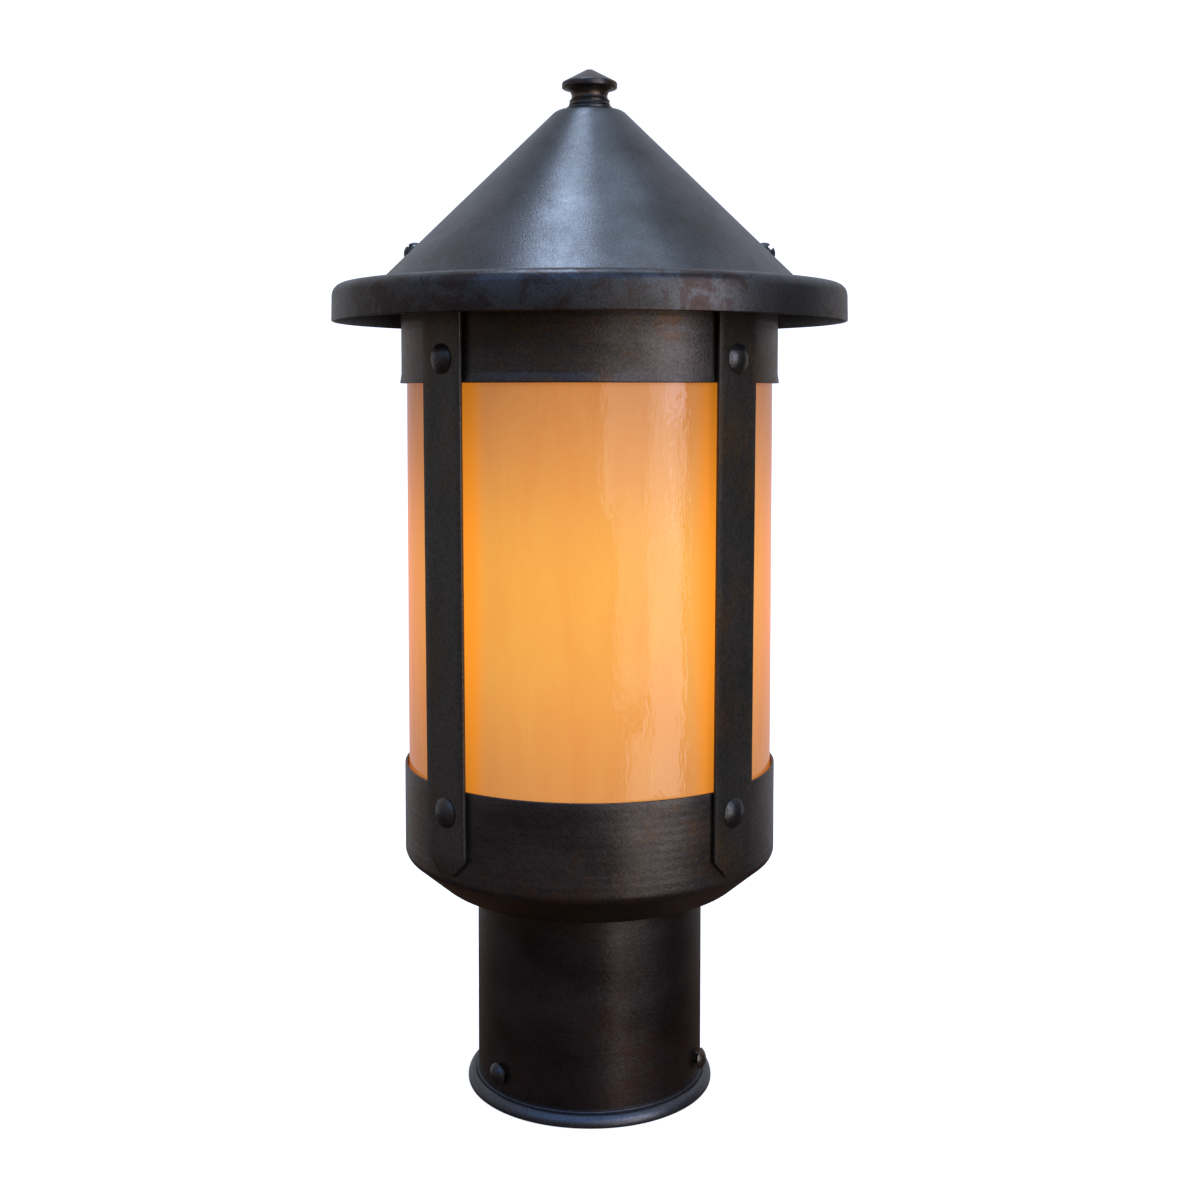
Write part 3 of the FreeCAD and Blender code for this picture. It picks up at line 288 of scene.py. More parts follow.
studio = {
    "floorOutline": [(0, -0.05), (1900, -0.05, 700), (1900, 2600)],  # a round white sweep, floor into wall
    "floorColours": ("EEEEEC", "F6F6F4"),
    "floorMottle": 3.0,  # patches in a metre
    "floorGlow": 0.8,  # stands for the lamps that whiten the sweep
    "roomLight": {  # light by height, from straight down to straight up
        0.0: "231914", 0.3: "3A2C26", 0.46: "463E39", 0.5: "525050", 0.56: "5A5E64", 0.7: "6C7684",
        0.94: "78869C",
    },
    "roomStrength": 1.5,
    "roomPatches": {  # name: (colour, then axis of the direction, where it starts, where it is whole)
        "pale wall behind": ("8A8B90", ("Y", -0.6, 0.8), ("Z", 0.95, 0.5), ("Z", -0.35, -0.25)),
        "sky in front": ("80ACF0", ("Y", -0.2, -0.55), ("Z", 0.22, 0.45)),
        "pale ceiling behind": ("A0A6B4", ("Y", 0.1, 0.5), ("Z", 0.2, 0.5), ("Z", 1.0, 0.8)),
        "dark doorway": ("1A1614", ("X", 0.8, 0.96), ("Z", 0.4, 0.2)),
    },
    "lights": {  # name: (place, looks at, size, all in metres, watts, colour)
        "skylight": ((-0.17, 0.02, 1.45), (0, 0, 0.3), (0.54, 0.3), 6.1, "C0D9FF"),
        "skylightSpill": ((0.3, 0.02, 1.45), (0, 0, 0.3), (0.4, 0.3), 1.5, "C4DDFF"),
        "farWindow": ((0.951, -0.887, 0.4), (0, 0, 0.25), (0.52, 1.3), 4.6, "F4F6FF"),
        "middleWindow": ((0.57, -1.168, 0.42), (0, 0, 0.2), (0.46, 1.1), 1.7, "F4F6FF"),
        "nearWindow": ((0.27, -1.272, 0.45), (0, 0, 0.2), (0.18, 0.7), 0.5, "F4F6FF"),
        "tableGlare": ((0.6, -1.096, -0.3), (0, 0, 0.1), (0.3, 0.34), 0.5, "FFF8EE"),
        "highWindow": ((1.179, -0.928, 0.395), (0, 0, 0.3), (0.36, 0.36), 0.85, "C8CCFF"),
        "windowBar": ((1.074, -0.898, 0.12), (0, 0, 0.2), (0.025, 0.12), 0.04, "FFFFFF"),
    },
}


def buildFloor():
    sweep = spinPiece("studioFloor", studio["floorOutline"], steps=96, skin=True)
    bpy.ops.object.mode_set(mode="EDIT")
    bpy.ops.mesh.select_all(action="SELECT")
    bpy.ops.mesh.normals_make_consistent(inside=True)
    bpy.ops.object.mode_set(mode="OBJECT")
    # matt white paper: all but even, with the faintest mottle
    material, tree, shader, spot = newMaterial("matt white paper sweep", Roughness=0.9,
                                               Emission_Color=(1, 1, 1, 1),
                                               Emission_Strength=studio["floorGlow"])
    mottle = addNode(tree, "TexNoise", {"Vector": spot, "Scale": studio["floorMottle"]})
    dull, bright = [hexColour(colour) for colour in studio["floorColours"]]
    tone = addNode(tree, "ValToRGB", {"Fac": mottle}, ramp=[(0.3, dull), (0.7, bright)])
    feed(shader, {"Base Color": tone})
    # from below it is seen through, so that the underside of the light can be looked at
    side = addNode(tree, "NewGeometry").outputs["Backfacing"]
    oneSided = addNode(tree, "MixShader", {0: side, 1: shader, 2: addNode(tree, "BsdfTransparent")})
    feed(tree.nodes["Material Output"], {"Surface": oneSided})
    sweep.data.materials.append(material)
    # it lights nothing, isn't mirrored and shades nothing
    sweep.visible_diffuse = sweep.visible_glossy = sweep.visible_shadow = False


def buildRoom():
    world = bpy.data.worlds.new("dim room, brighter above")
    bpy.context.scene.world = world
    world.use_nodes = True
    room = world.node_tree
    axes = addNode(room, "SeparateXYZ", {"Vector": addNode(room, "TexCoord").outputs["Generated"]})
    height = addNode(room, "MapRange", {"Value": axes.outputs["Z"], "From Min": -1.0})
    tone = addNode(room, "ValToRGB", {"Fac": height},
                   ramp=[(stop, hexColour(colour)) for stop, colour in studio["roomLight"].items()])
    for colour, *limits in studio["roomPatches"].values():
        share = 1.0
        for axis, start, whole in limits:
            reach = addNode(room, "MapRange", {"Value": axes.outputs[axis], "From Min": start,
                                               "From Max": whole})
            share = addNode(room, "Math", {0: reach, 1: share}, operation="MULTIPLY")
        tone = addNode(room, "MixRGB", {"Fac": share, "Color1": tone, "Color2": hexColour(colour)})
    feed(room.nodes["Background"], {"Color": tone, "Strength": studio["roomStrength"]})


def buildLights():
    for name, (spot, target, size, watts, colour) in studio["lights"].items():
        facing = (Vector(target) - Vector(spot)).to_track_quat("-Z", "Y")
        bpy.ops.object.light_add(type="AREA", location=spot, rotation=facing.to_euler())
        light = bpy.context.object
        light.name = name
        light.data.shape = "RECTANGLE"
        light.data.size, light.data.size_y = size
        light.data.energy = watts
        light.data.color = hexColour(colour)[:3]
        light.visible_camera = False


buildFloor()
buildRoom()
buildLights()
bpy.context.scene.view_settings.view_transform = "Standard"
print("studio set")


patinaSizes = {
    "clouds": 32, "veins": 9, "regions": 42, "rings": 9,  # rings coarser than the tool's, so that they show
    "hemBlend": 0.7, "topShadeOver": 60, "depth": 0.12,
}


def patina(name, dark, light, rust, streak=1.0, grain=0.8, rustShare=0.6, roughness=0.34, lines=0.0,
           relief=0.5, hem=-50, rustAbove=1.0, paintedLightingBelowHem=("5D5D60", 0.0), topShade=0.0, turn=0):
    # bronze sheet blackened hot, brushed back and waxed: near-black brown clouds with a paler bloom,
    # rust-brown veins where the brush broke through, a fine grain that breaks up the shine, and rings left by
    # the spinning tool. Below the hem it keeps all of its rust and may be blended toward one even tone,
    # painted light where that tone is paler and painted shade where it is darker, and from there up it may be
    # painted darker towards the top, a painted shade. turn brings another side of the pattern to the front
    material, tree, shader, spot = newMaterial(name, Metallic=0.8, Coat_Weight=0.1, Coat_Roughness=0.25)
    size = {part: length * mm for part, length in patinaSizes.items()}
    turned = addNode(tree, "Mapping", {"Vector": spot, "Rotation": (0, 0, math.radians(turn))})
    height = addNode(tree, "SeparateXYZ", {"Vector": turned}).outputs["Z"]
    above = addNode(tree, "MapRange", {"Value": height, "From Min": hem * mm - size["hemBlend"],
                                       "From Max": hem * mm + size["hemBlend"]})
    drawn = addNode(tree, "Mapping", {"Vector": turned, "Scale": (1, 1, streak)})
    clouds = addNode(tree, "TexNoise", {"Vector": drawn, "Scale": 1 / size["clouds"], "Detail": 7.0,
                                        "Roughness": 0.6})
    tone = addNode(tree, "ValToRGB", {"Fac": clouds},
                   ramp=[(0.36, hexColour(dark)), (0.66, hexColour(light))])
    veins = addNode(tree, "TexNoise", {"Vector": drawn, "Scale": 1 / size["veins"], "Detail": 10.0,
                                       "Roughness": 0.72, "Distortion": 1.2})
    regions = addNode(tree, "TexNoise", {"Vector": turned, "Scale": 1 / size["regions"], "Detail": 2.0})
    both = addNode(tree, "Math", {0: veins, 1: regions}, operation="MULTIPLY")
    bare = addNode(tree, "MapRange", {"Value": both, "From Min": 0.255, "From Max": 0.345,
                                      "To Max": rustShare})
    kept = addNode(tree, "MapRange", {"Value": above, "To Min": 1.0, "To Max": rustAbove})
    share = addNode(tree, "Math", {0: bare, 1: kept}, operation="MULTIPLY")
    rusted = addNode(tree, "MixRGB", {"Fac": share, "Color1": tone, "Color2": hexColour(rust)})
    # below the hem the colour is blended toward an even tone: painted light where that tone is paler, painted
    # shade where it is darker
    lightingTone, lightingShare = paintedLightingBelowHem
    lightingMask = addNode(tree, "MapRange", {"Value": above, "To Min": lightingShare, "To Max": 0.0})
    withPaintedLighting = addNode(tree, "MixRGB", {"Fac": lightingMask, "Color1": rusted, "Color2": hexColour(lightingTone)})
    speckle = addNode(tree, "TexNoise", {"Vector": turned, "Scale": 1 / (grain * mm), "Detail": 2.0})
    dust = addNode(tree, "MapRange", {"Value": speckle, "From Min": 0.3, "From Max": 0.7,
                                      "To Min": 0.75, "To Max": 1.25})
    # painted shade: from the hem up the colour is made darker towards the top, and the grain is multiplied in
    # with it
    topShadeFactor = addNode(tree, "MapRange", {"Value": height, "From Min": hem * mm,
                                       "From Max": hem * mm + size["topShadeOver"],
                                       "To Min": 1.0, "To Max": 1 - topShade})
    pale = addNode(tree, "Math", {0: dust, 1: topShadeFactor}, operation="MULTIPLY")
    dustedAndTopShaded = addNode(tree, "MixRGB", {"Fac": 1.0, "Color1": withPaintedLighting, "Color2": pale}, blend_type="MULTIPLY")
    gloss = addNode(tree, "MapRange", {"Value": veins, "From Min": 0.35, "From Max": 0.7,
                                       "To Min": roughness - 0.02, "To Max": roughness + 0.07})
    rings = addNode(tree, "TexWave", {"Vector": turned, "Scale": 1 / size["rings"], "Distortion": 1.5,
                                      "Detail": 2.0, "Detail Scale": 4.0},
                    wave_type="BANDS", bands_direction="Z")
    tooled = addNode(tree, "Math", {0: rings.outputs["Fac"], 1: lines, 2: speckle}, operation="MULTIPLY_ADD")
    bump = addNode(tree, "Bump", {"Height": tooled, "Strength": relief, "Distance": size["depth"]})
    feed(shader, {"Base Color": dustedAndTopShaded, "Roughness": gloss, "Normal": bump})
    return material


glass = {"radius": 64.15, "wall": 3.0, "foot": 88.07, "top": 262.0, "waves": (0.12, 16), "stretch": 3.0}
glassLook = {
    "wisps": 13, "ripples": 5, "rippleDepth": 0.24,
    "drawnOut": {"wisps": 0.24, "ripples": 0.25},  # frequency up the sheet, as a share of that across it
    # milkInStrapShade and glowInStrapShade are painted shade: deeper orange where a strap keeps the room's
    # light off the glass
    "milk": ("AE7844", "BC8A56"), "milkInStrapShade": "985C34",
    "glowFrom": 88.0, "glowTo": 262.0, "glowStrength": 0.83,
    "glowByHeight": {90: 0.57, 116: 0.63, 150: 0.87, 186: 1.0, 215: 0.83, 249: 0.46},
    "glowColours": {0.5: "FF9D4B", 0.75: "FFA443", 1.0: "FFAE36"},  # the brighter, the yellower
    "glowInStrapShade": "FF9A26", "glowEdgeOn": "FF7E2C",
    # painted shade beside the straps: how far from a strap's middle it is whole and where it is gone, and how
    # much it lifts the painted glow there
    "strapShadeReach": (10.0, 16.5), "strapShadeGlowBoost": 0.32,  # from a strap's middle, whole and gone
}


def amberGlass():
    # mouth-rolled opalescent glass: cream and honey wisps drawn up the sheet over an even milky body, with a
    # painted glow from the lamp inside, and painted shade, deeper orange, where a strap keeps the room's
    # light off it, with a wavy fire-polished face
    material, tree, shader, spot = newMaterial("streaky amber opalescent glass", IOR=1.52, Roughness=0.03)
    look = glassLook
    axes = addNode(tree, "SeparateXYZ", {"Vector": spot})
    drawn = addNode(tree, "Mapping", {"Vector": spot, "Scale": (1, 1, look["drawnOut"]["wisps"])})
    wisps = addNode(tree, "TexNoise", {"Vector": drawn, "Scale": 1 / (look["wisps"] * mm), "Detail": 6.0,
                                       "Roughness": 0.6, "Distortion": 0.7})
    # painted shade beside each strap, measured round the glass from the strap's middle
    bearing = addNode(tree, "Math", {0: axes.outputs["Y"], 1: axes.outputs["X"]}, operation="ARCTAN2")
    quarter = addNode(tree, "Math", {0: bearing, 1: math.pi / 4}, operation="PINGPONG")
    near, far = [math.pi / 4 - reach / glass["radius"] for reach in look["strapShadeReach"]]
    strapShade = addNode(tree, "MapRange", {"Value": quarter, "From Min": far, "From Max": near},
                     interpolation_type="SMOOTHSTEP")
    thin, thick = [hexColour(colour) for colour in look["milk"]]
    milk = addNode(tree, "ValToRGB", {"Fac": wisps}, ramp=[(0.3, thin), (0.7, thick)])
    body = addNode(tree, "MixRGB", {"Fac": strapShade, "Color1": milk,
                                    "Color2": hexColour(look["milkInStrapShade"])})
    # the lamp's light by height, streaked by the wisps
    foot, top = look["glowFrom"], look["glowTo"]
    rise = addNode(tree, "MapRange", {"Value": axes.outputs["Z"], "From Min": foot * mm,
                                      "From Max": top * mm})
    glow = addNode(tree, "ValToRGB", {"Fac": rise},
                   ramp=[((height - foot) / (top - foot), (level, level, level, 1))
                         for height, level in look["glowByHeight"].items()])
    glow.color_ramp.interpolation = "B_SPLINE"
    streaks = addNode(tree, "MapRange", {"Value": wisps, "To Min": -0.2, "To Max": 0.2})
    through = addNode(tree, "Math", {0: glow, 1: streaks}, operation="ADD")
    honey = addNode(tree, "ValToRGB", {"Fac": through},
                    ramp=[(level, hexColour(colour)) for level, colour in look["glowColours"].items()])
    deep = addNode(tree, "MixRGB", {"Fac": strapShade, "Color1": honey,
                                    "Color2": hexColour(look["glowInStrapShade"])})
    # seen edge on, the light comes through more glass: redder, and without the lamp's own shine
    facing = addNode(tree, "LayerWeight", {"Blend": 0.5}).outputs["Facing"]
    edgeOn = addNode(tree, "MapRange", {"Value": facing, "From Min": 0.4, "From Max": 0.9, "To Max": 0.8})
    colour = addNode(tree, "MixRGB", {"Fac": edgeOn, "Color1": deep, "Color2": hexColour(look["glowEdgeOn"])})
    spread = addNode(tree, "MapRange", {"Value": facing, "To Min": 1.0, "To Max": 2.2})
    lit = addNode(tree, "Math", {0: glow, 1: spread}, operation="POWER")
    strength = look["glowStrength"]
    rim = addNode(tree, "MapRange", {"Value": facing, "To Min": strength, "To Max": 0.92 * strength})
    # the painted glow is raised in the strap's painted shade
    boost = addNode(tree, "MapRange", {"Value": strapShade, "To Min": 1.0, "To Max": 1 + look["strapShadeGlowBoost"]})
    for factor in (rim, boost):
        lit = addNode(tree, "Math", {0: lit, 1: factor}, operation="MULTIPLY")
    ripple = addNode(tree, "Mapping", {"Vector": spot, "Scale": (1, 1, look["drawnOut"]["ripples"])})
    waves = addNode(tree, "TexNoise", {"Vector": ripple, "Scale": 1 / (look["ripples"] * mm), "Detail": 4.0,
                                       "Roughness": 0.62})
    bump = addNode(tree, "Bump", {"Height": waves, "Strength": 1.0, "Distance": look["rippleDepth"] * mm})
    feed(shader, {"Base Color": body, "Emission Color": colour, "Emission Strength": lit, "Normal": bump})
    return material


metalSizes = {"lines": 2, "depth": 0.05}


def workedMetal(name, light, dark, grain, roughness, lines=0.0):
    # plated or bare metal parts: cloudy tarnish, fine drawn or turned lines, and a slightly uneven shine
    material, tree, shader, spot = newMaterial(name, Metallic=1.0)
    tarnish = addNode(tree, "TexNoise", {"Vector": spot, "Scale": 1 / (grain * mm), "Detail": 6.0})
    tone = addNode(tree, "ValToRGB", {"Fac": tarnish},
                   ramp=[(0.35, hexColour(dark)), (0.65, hexColour(light))])
    shine = addNode(tree, "MapRange", {"Value": tarnish, "From Min": 0.3, "From Max": 0.7,
                                       "To Min": roughness + 0.08, "To Max": roughness - 0.05})
    turned = addNode(tree, "TexWave", {"Vector": spot, "Scale": 1 / (metalSizes["lines"] * mm),
                                       "Distortion": 0.6}, wave_type="BANDS", bands_direction="Z")
    worked = addNode(tree, "Math", {0: turned.outputs["Fac"], 1: lines, 2: tarnish}, operation="MULTIPLY_ADD")
    bump = addNode(tree, "Bump", {"Height": worked, "Strength": 0.2, "Distance": metalSizes["depth"] * mm})
    feed(shader, {"Base Color": tone, "Roughness": shine, "Normal": bump})
    return material


def mouldedFinish(name, light, dark, grain, roughness, ior=1.5, relief=0.05, **values):
    # fired or moulded parts: a faint cloudiness in the body and a skin that is never perfectly flat
    material, tree, shader, spot = newMaterial(name, IOR=ior, **values)
    body = addNode(tree, "TexNoise", {"Vector": spot, "Scale": 1 / (grain * mm), "Detail": 5.0})
    tone = addNode(tree, "ValToRGB", {"Fac": body}, ramp=[(0.35, hexColour(dark)), (0.65, hexColour(light))])
    skin = addNode(tree, "MapRange", {"Value": body, "To Min": roughness - 0.03, "To Max": roughness + 0.05})
    bump = addNode(tree, "Bump", {"Height": body, "Strength": 0.3, "Distance": relief * mm})
    feed(shader, {"Base Color": tone, "Roughness": skin, "Normal": bump})
    return material


bronze = {
    # roof: below the shoulder the brim's skirt is blended toward a darker grey, painted shade that tones down
    # the windows' light on it, and the cone is painted darker towards the top, a painted shade under the
    # skylight's highlight
    "roof": patina("waxed bronze patina, roof", "474440", "605D5B", "44291B", grain=0.6, roughness=0.33,
                   lines=0.03, relief=0.42, hem=283.3, rustAbove=0.3, rustShare=0.8, paintedLightingBelowHem=("33302F", 0.3),
                   topShade=0.15, turn=65),
    "skirted": patina("waxed bronze patina, cup and band", "463E39", "5F5650", "6A4A2C", streak=2.0,
                      lines=0.3),
    # fitter: below 4.6 mm the bead is blended toward a pale grey, painted light that stands in for the sky
    # its face mirrors
    "fitter": patina("waxed bronze patina, fitter", "332A26", "4A423F", "462C1C", streak=1.6, lines=0.12,
                     relief=0.35, hem=4.6, paintedLightingBelowHem=("5D5D60", 0.85)),
    "strap": patina("waxed bronze patina, straps", "4A453E", "5C564E", "6A5034", streak=0.4, grain=1.1,
                    roughness=0.42),
    "cast": patina("waxed bronze patina, small parts", "3C3A39", "5A5856", "6A4E36", grain=0.6,
                   roughness=0.3),
}
glassFinish = amberGlass()
# steel dipped in zinc: bluish, with a faint straw tint in the clouds
zinc = workedMetal("zinc-plated steel", "B9BDC0", "8D8C80", 6, 0.36)
# machined brass, browned a little by heat, with fine turning lines
brass = workedMetal("tarnished brass", "C9A24F", "8F6B2E", 4, 0.3, lines=0.5)
# nickel-plated brass shell: warm silver with rolled lines
nickel = workedMetal("nickel plate", "C9C4B8", "9A958A", 7, 0.24, lines=0.2)
# soft solder: dull, lumpy and grey
solder = workedMetal("soft solder", "A9ABAC", "7C7E80", 1.5, 0.45)
# drawn nickel-iron wire, darkened where it was welded
wire = workedMetal("lamp lead wire", "A79C8C", "6E6458", 1.5, 0.4)
# green-dyed screw head: the zinc shows through the dye as cloudy patches
greenSteel = workedMetal("green-dyed steel", "3E8A4E", "24603A", 3, 0.4)
# glazed porcelain: ivory white, glossy, with the slight orange peel of the glaze
porcelain = mouldedFinish("glazed porcelain", "F1ECDF", "E2D9C6", 9, 0.1, relief=0.08, Coat_Weight=0.6)
# black vitrite, a poured glass: near black and shiny
vitrite = mouldedFinish("black vitrite", "1A1A1E", "0C0C0E", 3, 0.14)
# moulded silicone: milky grey, soft and dull
silicone = mouldedFinish("moulded silicone", "B9B4A8", "9D978B", 6, 0.55, ior=1.41)
# moulded nylon: black with a fine sparked texture
nylon = mouldedFinish("black moulded nylon", "1F1F20", "141415", 0.7, 0.5, ior=1.53)
# silica-coated lamp glass: soft white that glows evenly
opalLamp = mouldedFinish("silica-coated lamp glass", "FFF6E6", "F6E7CC", 12, 0.22, ior=1.47,
                         Emission_Color=hexColour("FFC46B"), Emission_Strength=1.2)
# pressed flint glass of the lamp's stem: clear, with a faint green cast in its clouds
stemGlass = mouldedFinish("pressed flint glass", "DDE4E2", "C8D2CF", 2, 0.08, ior=1.56,
                          Transmission_Weight=0.6)

keptNodes = {
    zinc: ["fitter_plate", "nipple_washer", "lampholder_cap", "finial_washer", "roof_leg_right",
           "roof_leg_left"],
    silicone: ["glass_seat_ring", "glass_top_channel"],
    porcelain: ["lampholder_body"],
    brass: ["lampholder_centre_contact"],
    nylon: ["wire_bushing"],
    vitrite: ["lamp_insulator"],
    solder: ["lamp_contact"],
    opalLamp: ["lamp_envelope"],
    stemGlass: ["lamp_stem"],
    wire: ["lamp_lead_wires", "lamp_filament"],
}
for node in nodes.values():
    node.data.materials.clear()
    node.data.materials.append(zinc)
for material, names in keptNodes.items():
    for name in names:
        nodes[name].data.materials[0] = material
print("finishes made")


fitter = {
    "bore": 38.8, "radius": 40.0, "height": 72.0, "register": (39.3, 60.2),
    # rolled, with a crease above it
    "bead": [(43.6, 0, 0.7), (43.9, 2.2, 3), (41.9, 4.6, 1.2), (40.0, 3.9, 0.3), (40.0, 5.0)],
    "hollows": (0.12, 26),  # how deep, how wide
}


def buildFitter():
    tube = spinPiece("postFitter", [
        (fitter["bore"], 0, 0.9), *fitter["bead"],
        (fitter["radius"], fitter["height"]), (fitter["register"][0], fitter["height"]),
        fitter["register"], (fitter["bore"], fitter["register"][1]),
    ], steps=144, pitch=6)
    dent(tube, *fitter["hollows"])
    finish(tube, bronze["fitter"], "lantern", "aged_bronze", "post_fitter")


setScrew = {
    "angles": (-140, -20, 100), "height": 11.5, "tip": 38.8, "seat": 41.3,
    "headRadius": 3.75, "headRise": 2.2, "rim": 0.25,
    "shank": 2.08, "pitch": 0.8, "threadDepth": 0.35, "threadStart": 0.3,
}


def buildSetScrews():
    # the thread shows for a moment between the tube and the domed head
    shank, seat, rim = setScrew["shank"], setScrew["seat"], setScrew["rim"]
    thread = [(shank - setScrew["threadDepth"] * (number % 2),
               setScrew["tip"] + setScrew["threadStart"] + setScrew["pitch"] / 2 * number)
              for number in range(6)]
    body = spinPiece("setScrew", [
        (0, setScrew["tip"]), (shank - 0.4, setScrew["tip"]), *thread, (shank - 0.2, seat + 0.05),
        (setScrew["headRadius"] - 0.15, seat),
        *dome(setScrew["headRadius"], setScrew["headRise"] - rim, seat + rim, 11),
    ], steps=48)
    for number, angle in enumerate(setScrew["angles"]):
        name = f"set_screw_{number + 1}"
        twin = copyTo(body, f"setScrew{number + 1}", outwards(angle, setScrew["height"]))
        finish(twin, bronze["cast"], name, "blackened_steel", name)
    bpy.data.objects.remove(body)


buildFitter()
buildSetScrews()
print("post fitter made")


cup = {
    "floor": 72.0, "rim": 116.4, "radius": 65.6, "wall": 1.0, "floorRadius": 50.7, "hole": 5.2,
    "turn": 84.503, "turnInside": 84.969, "floorInset": 0.36, "hollows": (0.1, 24),
}
band = {
    "foot": 249.2, "top": 289.7, "radius": 66.0, "wall": 1.0, "flare": 0.55, "flareTop": 252.5,
    "hollows": (0.1, 24),
}


def buildCup():
    inside, floorTop = cup["radius"] - cup["wall"], cup["floor"] + cup["wall"]
    bowl = spinPiece("lowerCup", [
        (cup["hole"], cup["floor"]), (cup["floorRadius"], cup["floor"], 10), (cup["radius"], cup["turn"], 3),
        (cup["radius"], cup["rim"], 0.4), (inside, cup["rim"], 0.4), (inside, cup["turnInside"], 2),
        (cup["floorRadius"] - cup["floorInset"], floorTop, 9), (cup["hole"], floorTop),
    ], steps=160, pitch=6)
    dent(bowl, *cup["hollows"])
    finish(bowl, bronze["skirted"], "lantern", "aged_bronze", "lower_cup")


def buildBand():
    inside = band["radius"] - band["wall"]
    collar = spinPiece("topBand", [
        (inside + band["flare"], band["foot"], 0.3), (band["radius"] + band["flare"], band["foot"], 0.4),
        (band["radius"], band["flareTop"], 4), (band["radius"], band["top"], 0.3), (inside, band["top"], 0.3),
        (inside, band["flareTop"], 4),
    ], steps=160, pitch=6)
    dent(collar, *band["hollows"])
    finish(collar, bronze["skirted"], "lantern", "aged_bronze", "top_band")


buildCup()
buildBand()
print("cup and band made")


strap = {
    "width": 18.5, "thickness": 1.2, "length": 196.4, "clip": 6.0, "lean": 0.3368, "foot": (65.65, 87.603),
    "easedOutside": 0.1, "easedInside": 0.12, "hollows": (0.1, 9),
    "cutsUp": range(8, 196, 6), "cutsAcross": (-6, -3, 0, 3, 6),  # points for the hollows to move
    "names": {
        "strap_back_right": 45, "strap_back_left": 135, "strap_front_left": 225, "strap_front_right": 315,
    },
}
rivet = {
    "headRadius": 5.0, "headRise": 1.9, "rim": 0.2, "shank": 2.1, "hollows": (0.12, 2.4),
    "cup": {"node": "cup_rivets", "height": 108.5, "seat": 67.023, "tail": 64.5},
    "band": {"node": "band_rivets", "height": 257.0, "seat": 67.896, "tail": 64.93},
}


def buildStraps():
    # flat bar, sheared square at the top and clipped at the foot, its edges eased by the brush
    bpy.ops.object.select_all(action="DESELECT")
    size = Vector((strap["thickness"], strap["width"], strap["length"])) * mm
    bpy.ops.mesh.primitive_cube_add(size=1, location=(size.x / 2, 0, size.z / 2), scale=size)
    bar = applyPlace(bpy.context.object)
    bar.name = "strapBar"
    bpy.ops.object.mode_set(mode="EDIT")
    pick("EDGE", lambda at, edge: at.z < 0.1 and abs(at.y) > strap["width"] / 2 - 0.1)
    bpy.ops.mesh.bevel(offset=strap["clip"] * mm, segments=1)
    pick("EDGE", lambda at, edge: at.x > strap["thickness"] - 0.01)
    bpy.ops.mesh.bevel(offset=strap["easedOutside"] * mm, segments=2)
    pick("EDGE", lambda at, edge: at.x < 0.01)
    bpy.ops.mesh.bevel(offset=strap["easedInside"] * mm, segments=1)
    for height in strap["cutsUp"]:
        bpy.ops.mesh.select_all(action="SELECT")
        bpy.ops.mesh.bisect(plane_co=(0, 0, height * mm), plane_no=(0, 0, 1))
    for across in strap["cutsAcross"]:
        bpy.ops.mesh.select_all(action="SELECT")
        bpy.ops.mesh.bisect(plane_co=(0, across * mm, 0), plane_no=(0, 1, 0))
    closeUp(bar, smooth=50)
    dent(bar, *strap["hollows"])
    foot = along(x=strap["foot"][0], z=strap["foot"][1])
    for node, angle in strap["names"].items():
        name = "".join(word.title() if number else word for number, word in enumerate(node.split("_")))
        twin = copyTo(bar, name, around(angle) @ foot @ around(strap["lean"], "Y"))
        finish(twin, bronze["strap"], "lantern", "aged_bronze", node)
    bpy.data.objects.remove(bar)


def buildRivets():
    # hammered dome heads, the tails peened over inside
    radius, rim = rivet["headRadius"], rivet["rim"]
    for kind in ("cup", "band"):
        spec = rivet[kind]
        head = spinPiece(kind + "Rivets", [
            (0, spec["tail"]), (rivet["shank"], spec["tail"] + 0.02), (rivet["shank"], spec["seat"]),
            (radius - 0.1, spec["seat"]), *dome(radius, rivet["headRise"] - rim, spec["seat"] + rim, 12),
        ], steps=40)
        dent(head, *rivet["hollows"])
        twins = [copyTo(head, f"{kind}Rivet{number}", outwards(45 + 90 * number, spec["height"]))
                 for number in (1, 2, 3)]
        joinInto(place(head, outwards(45, spec["height"])), twins)
        finish(head, bronze["cast"], "lantern", "aged_bronze", spec["node"])


buildStraps()
buildRivets()
print("straps and rivets made")


def buildGlass():
    inside = glass["radius"] - glass["wall"]
    sheet = spinPiece("glassCylinder", [
        (inside, glass["foot"], 0.6), (glass["radius"], glass["foot"], 0.6),
        (glass["radius"], glass["top"], 0.6), (inside, glass["top"], 0.6),
    ], steps=192, pitch=4)
    dent(sheet, *glass["waves"], stretch=glass["stretch"])
    finish(sheet, glassFinish, "lantern", "amber_art_glass", "glass_cylinder")


buildGlass()
print("glass made")


roof = {
    "brim": 270.487, "shoulder": 283.3, "top": 344.283, "angle": 44.15,
    "radius": 89.86, "skirtLean": 0.3, "coneRadius": 74.46, "topRadius": 11.64, "studHole": 2.1,
    "wall": 1.0, "insideShift": 0.41, "hollows": (0.05, 30),
}
roofScrew = {
    "reach": 62.0, "seat": 295.395, "headRadius": 3.75, "headRise": 3.0, "shank": 2.0, "length": 6.55,
    "slot": (1.6, 1.7), "slotTurns": {"right": 0, "left": 22}, "pitch": 0.8, "nutDrop": 5.55,
}
smallNut = {"flats": 6.35, "height": 3.0, "bore": 2.05, "pitch": 0.8}
screwShape = {
    "skirt": 0.3,  # straight side under a dome
    "flatEdge": (0.8, 0.4, 0.3),  # of a flat head: how wide, how deep, how rounded
    "tooth": 0.4,  # share of the pitch
}


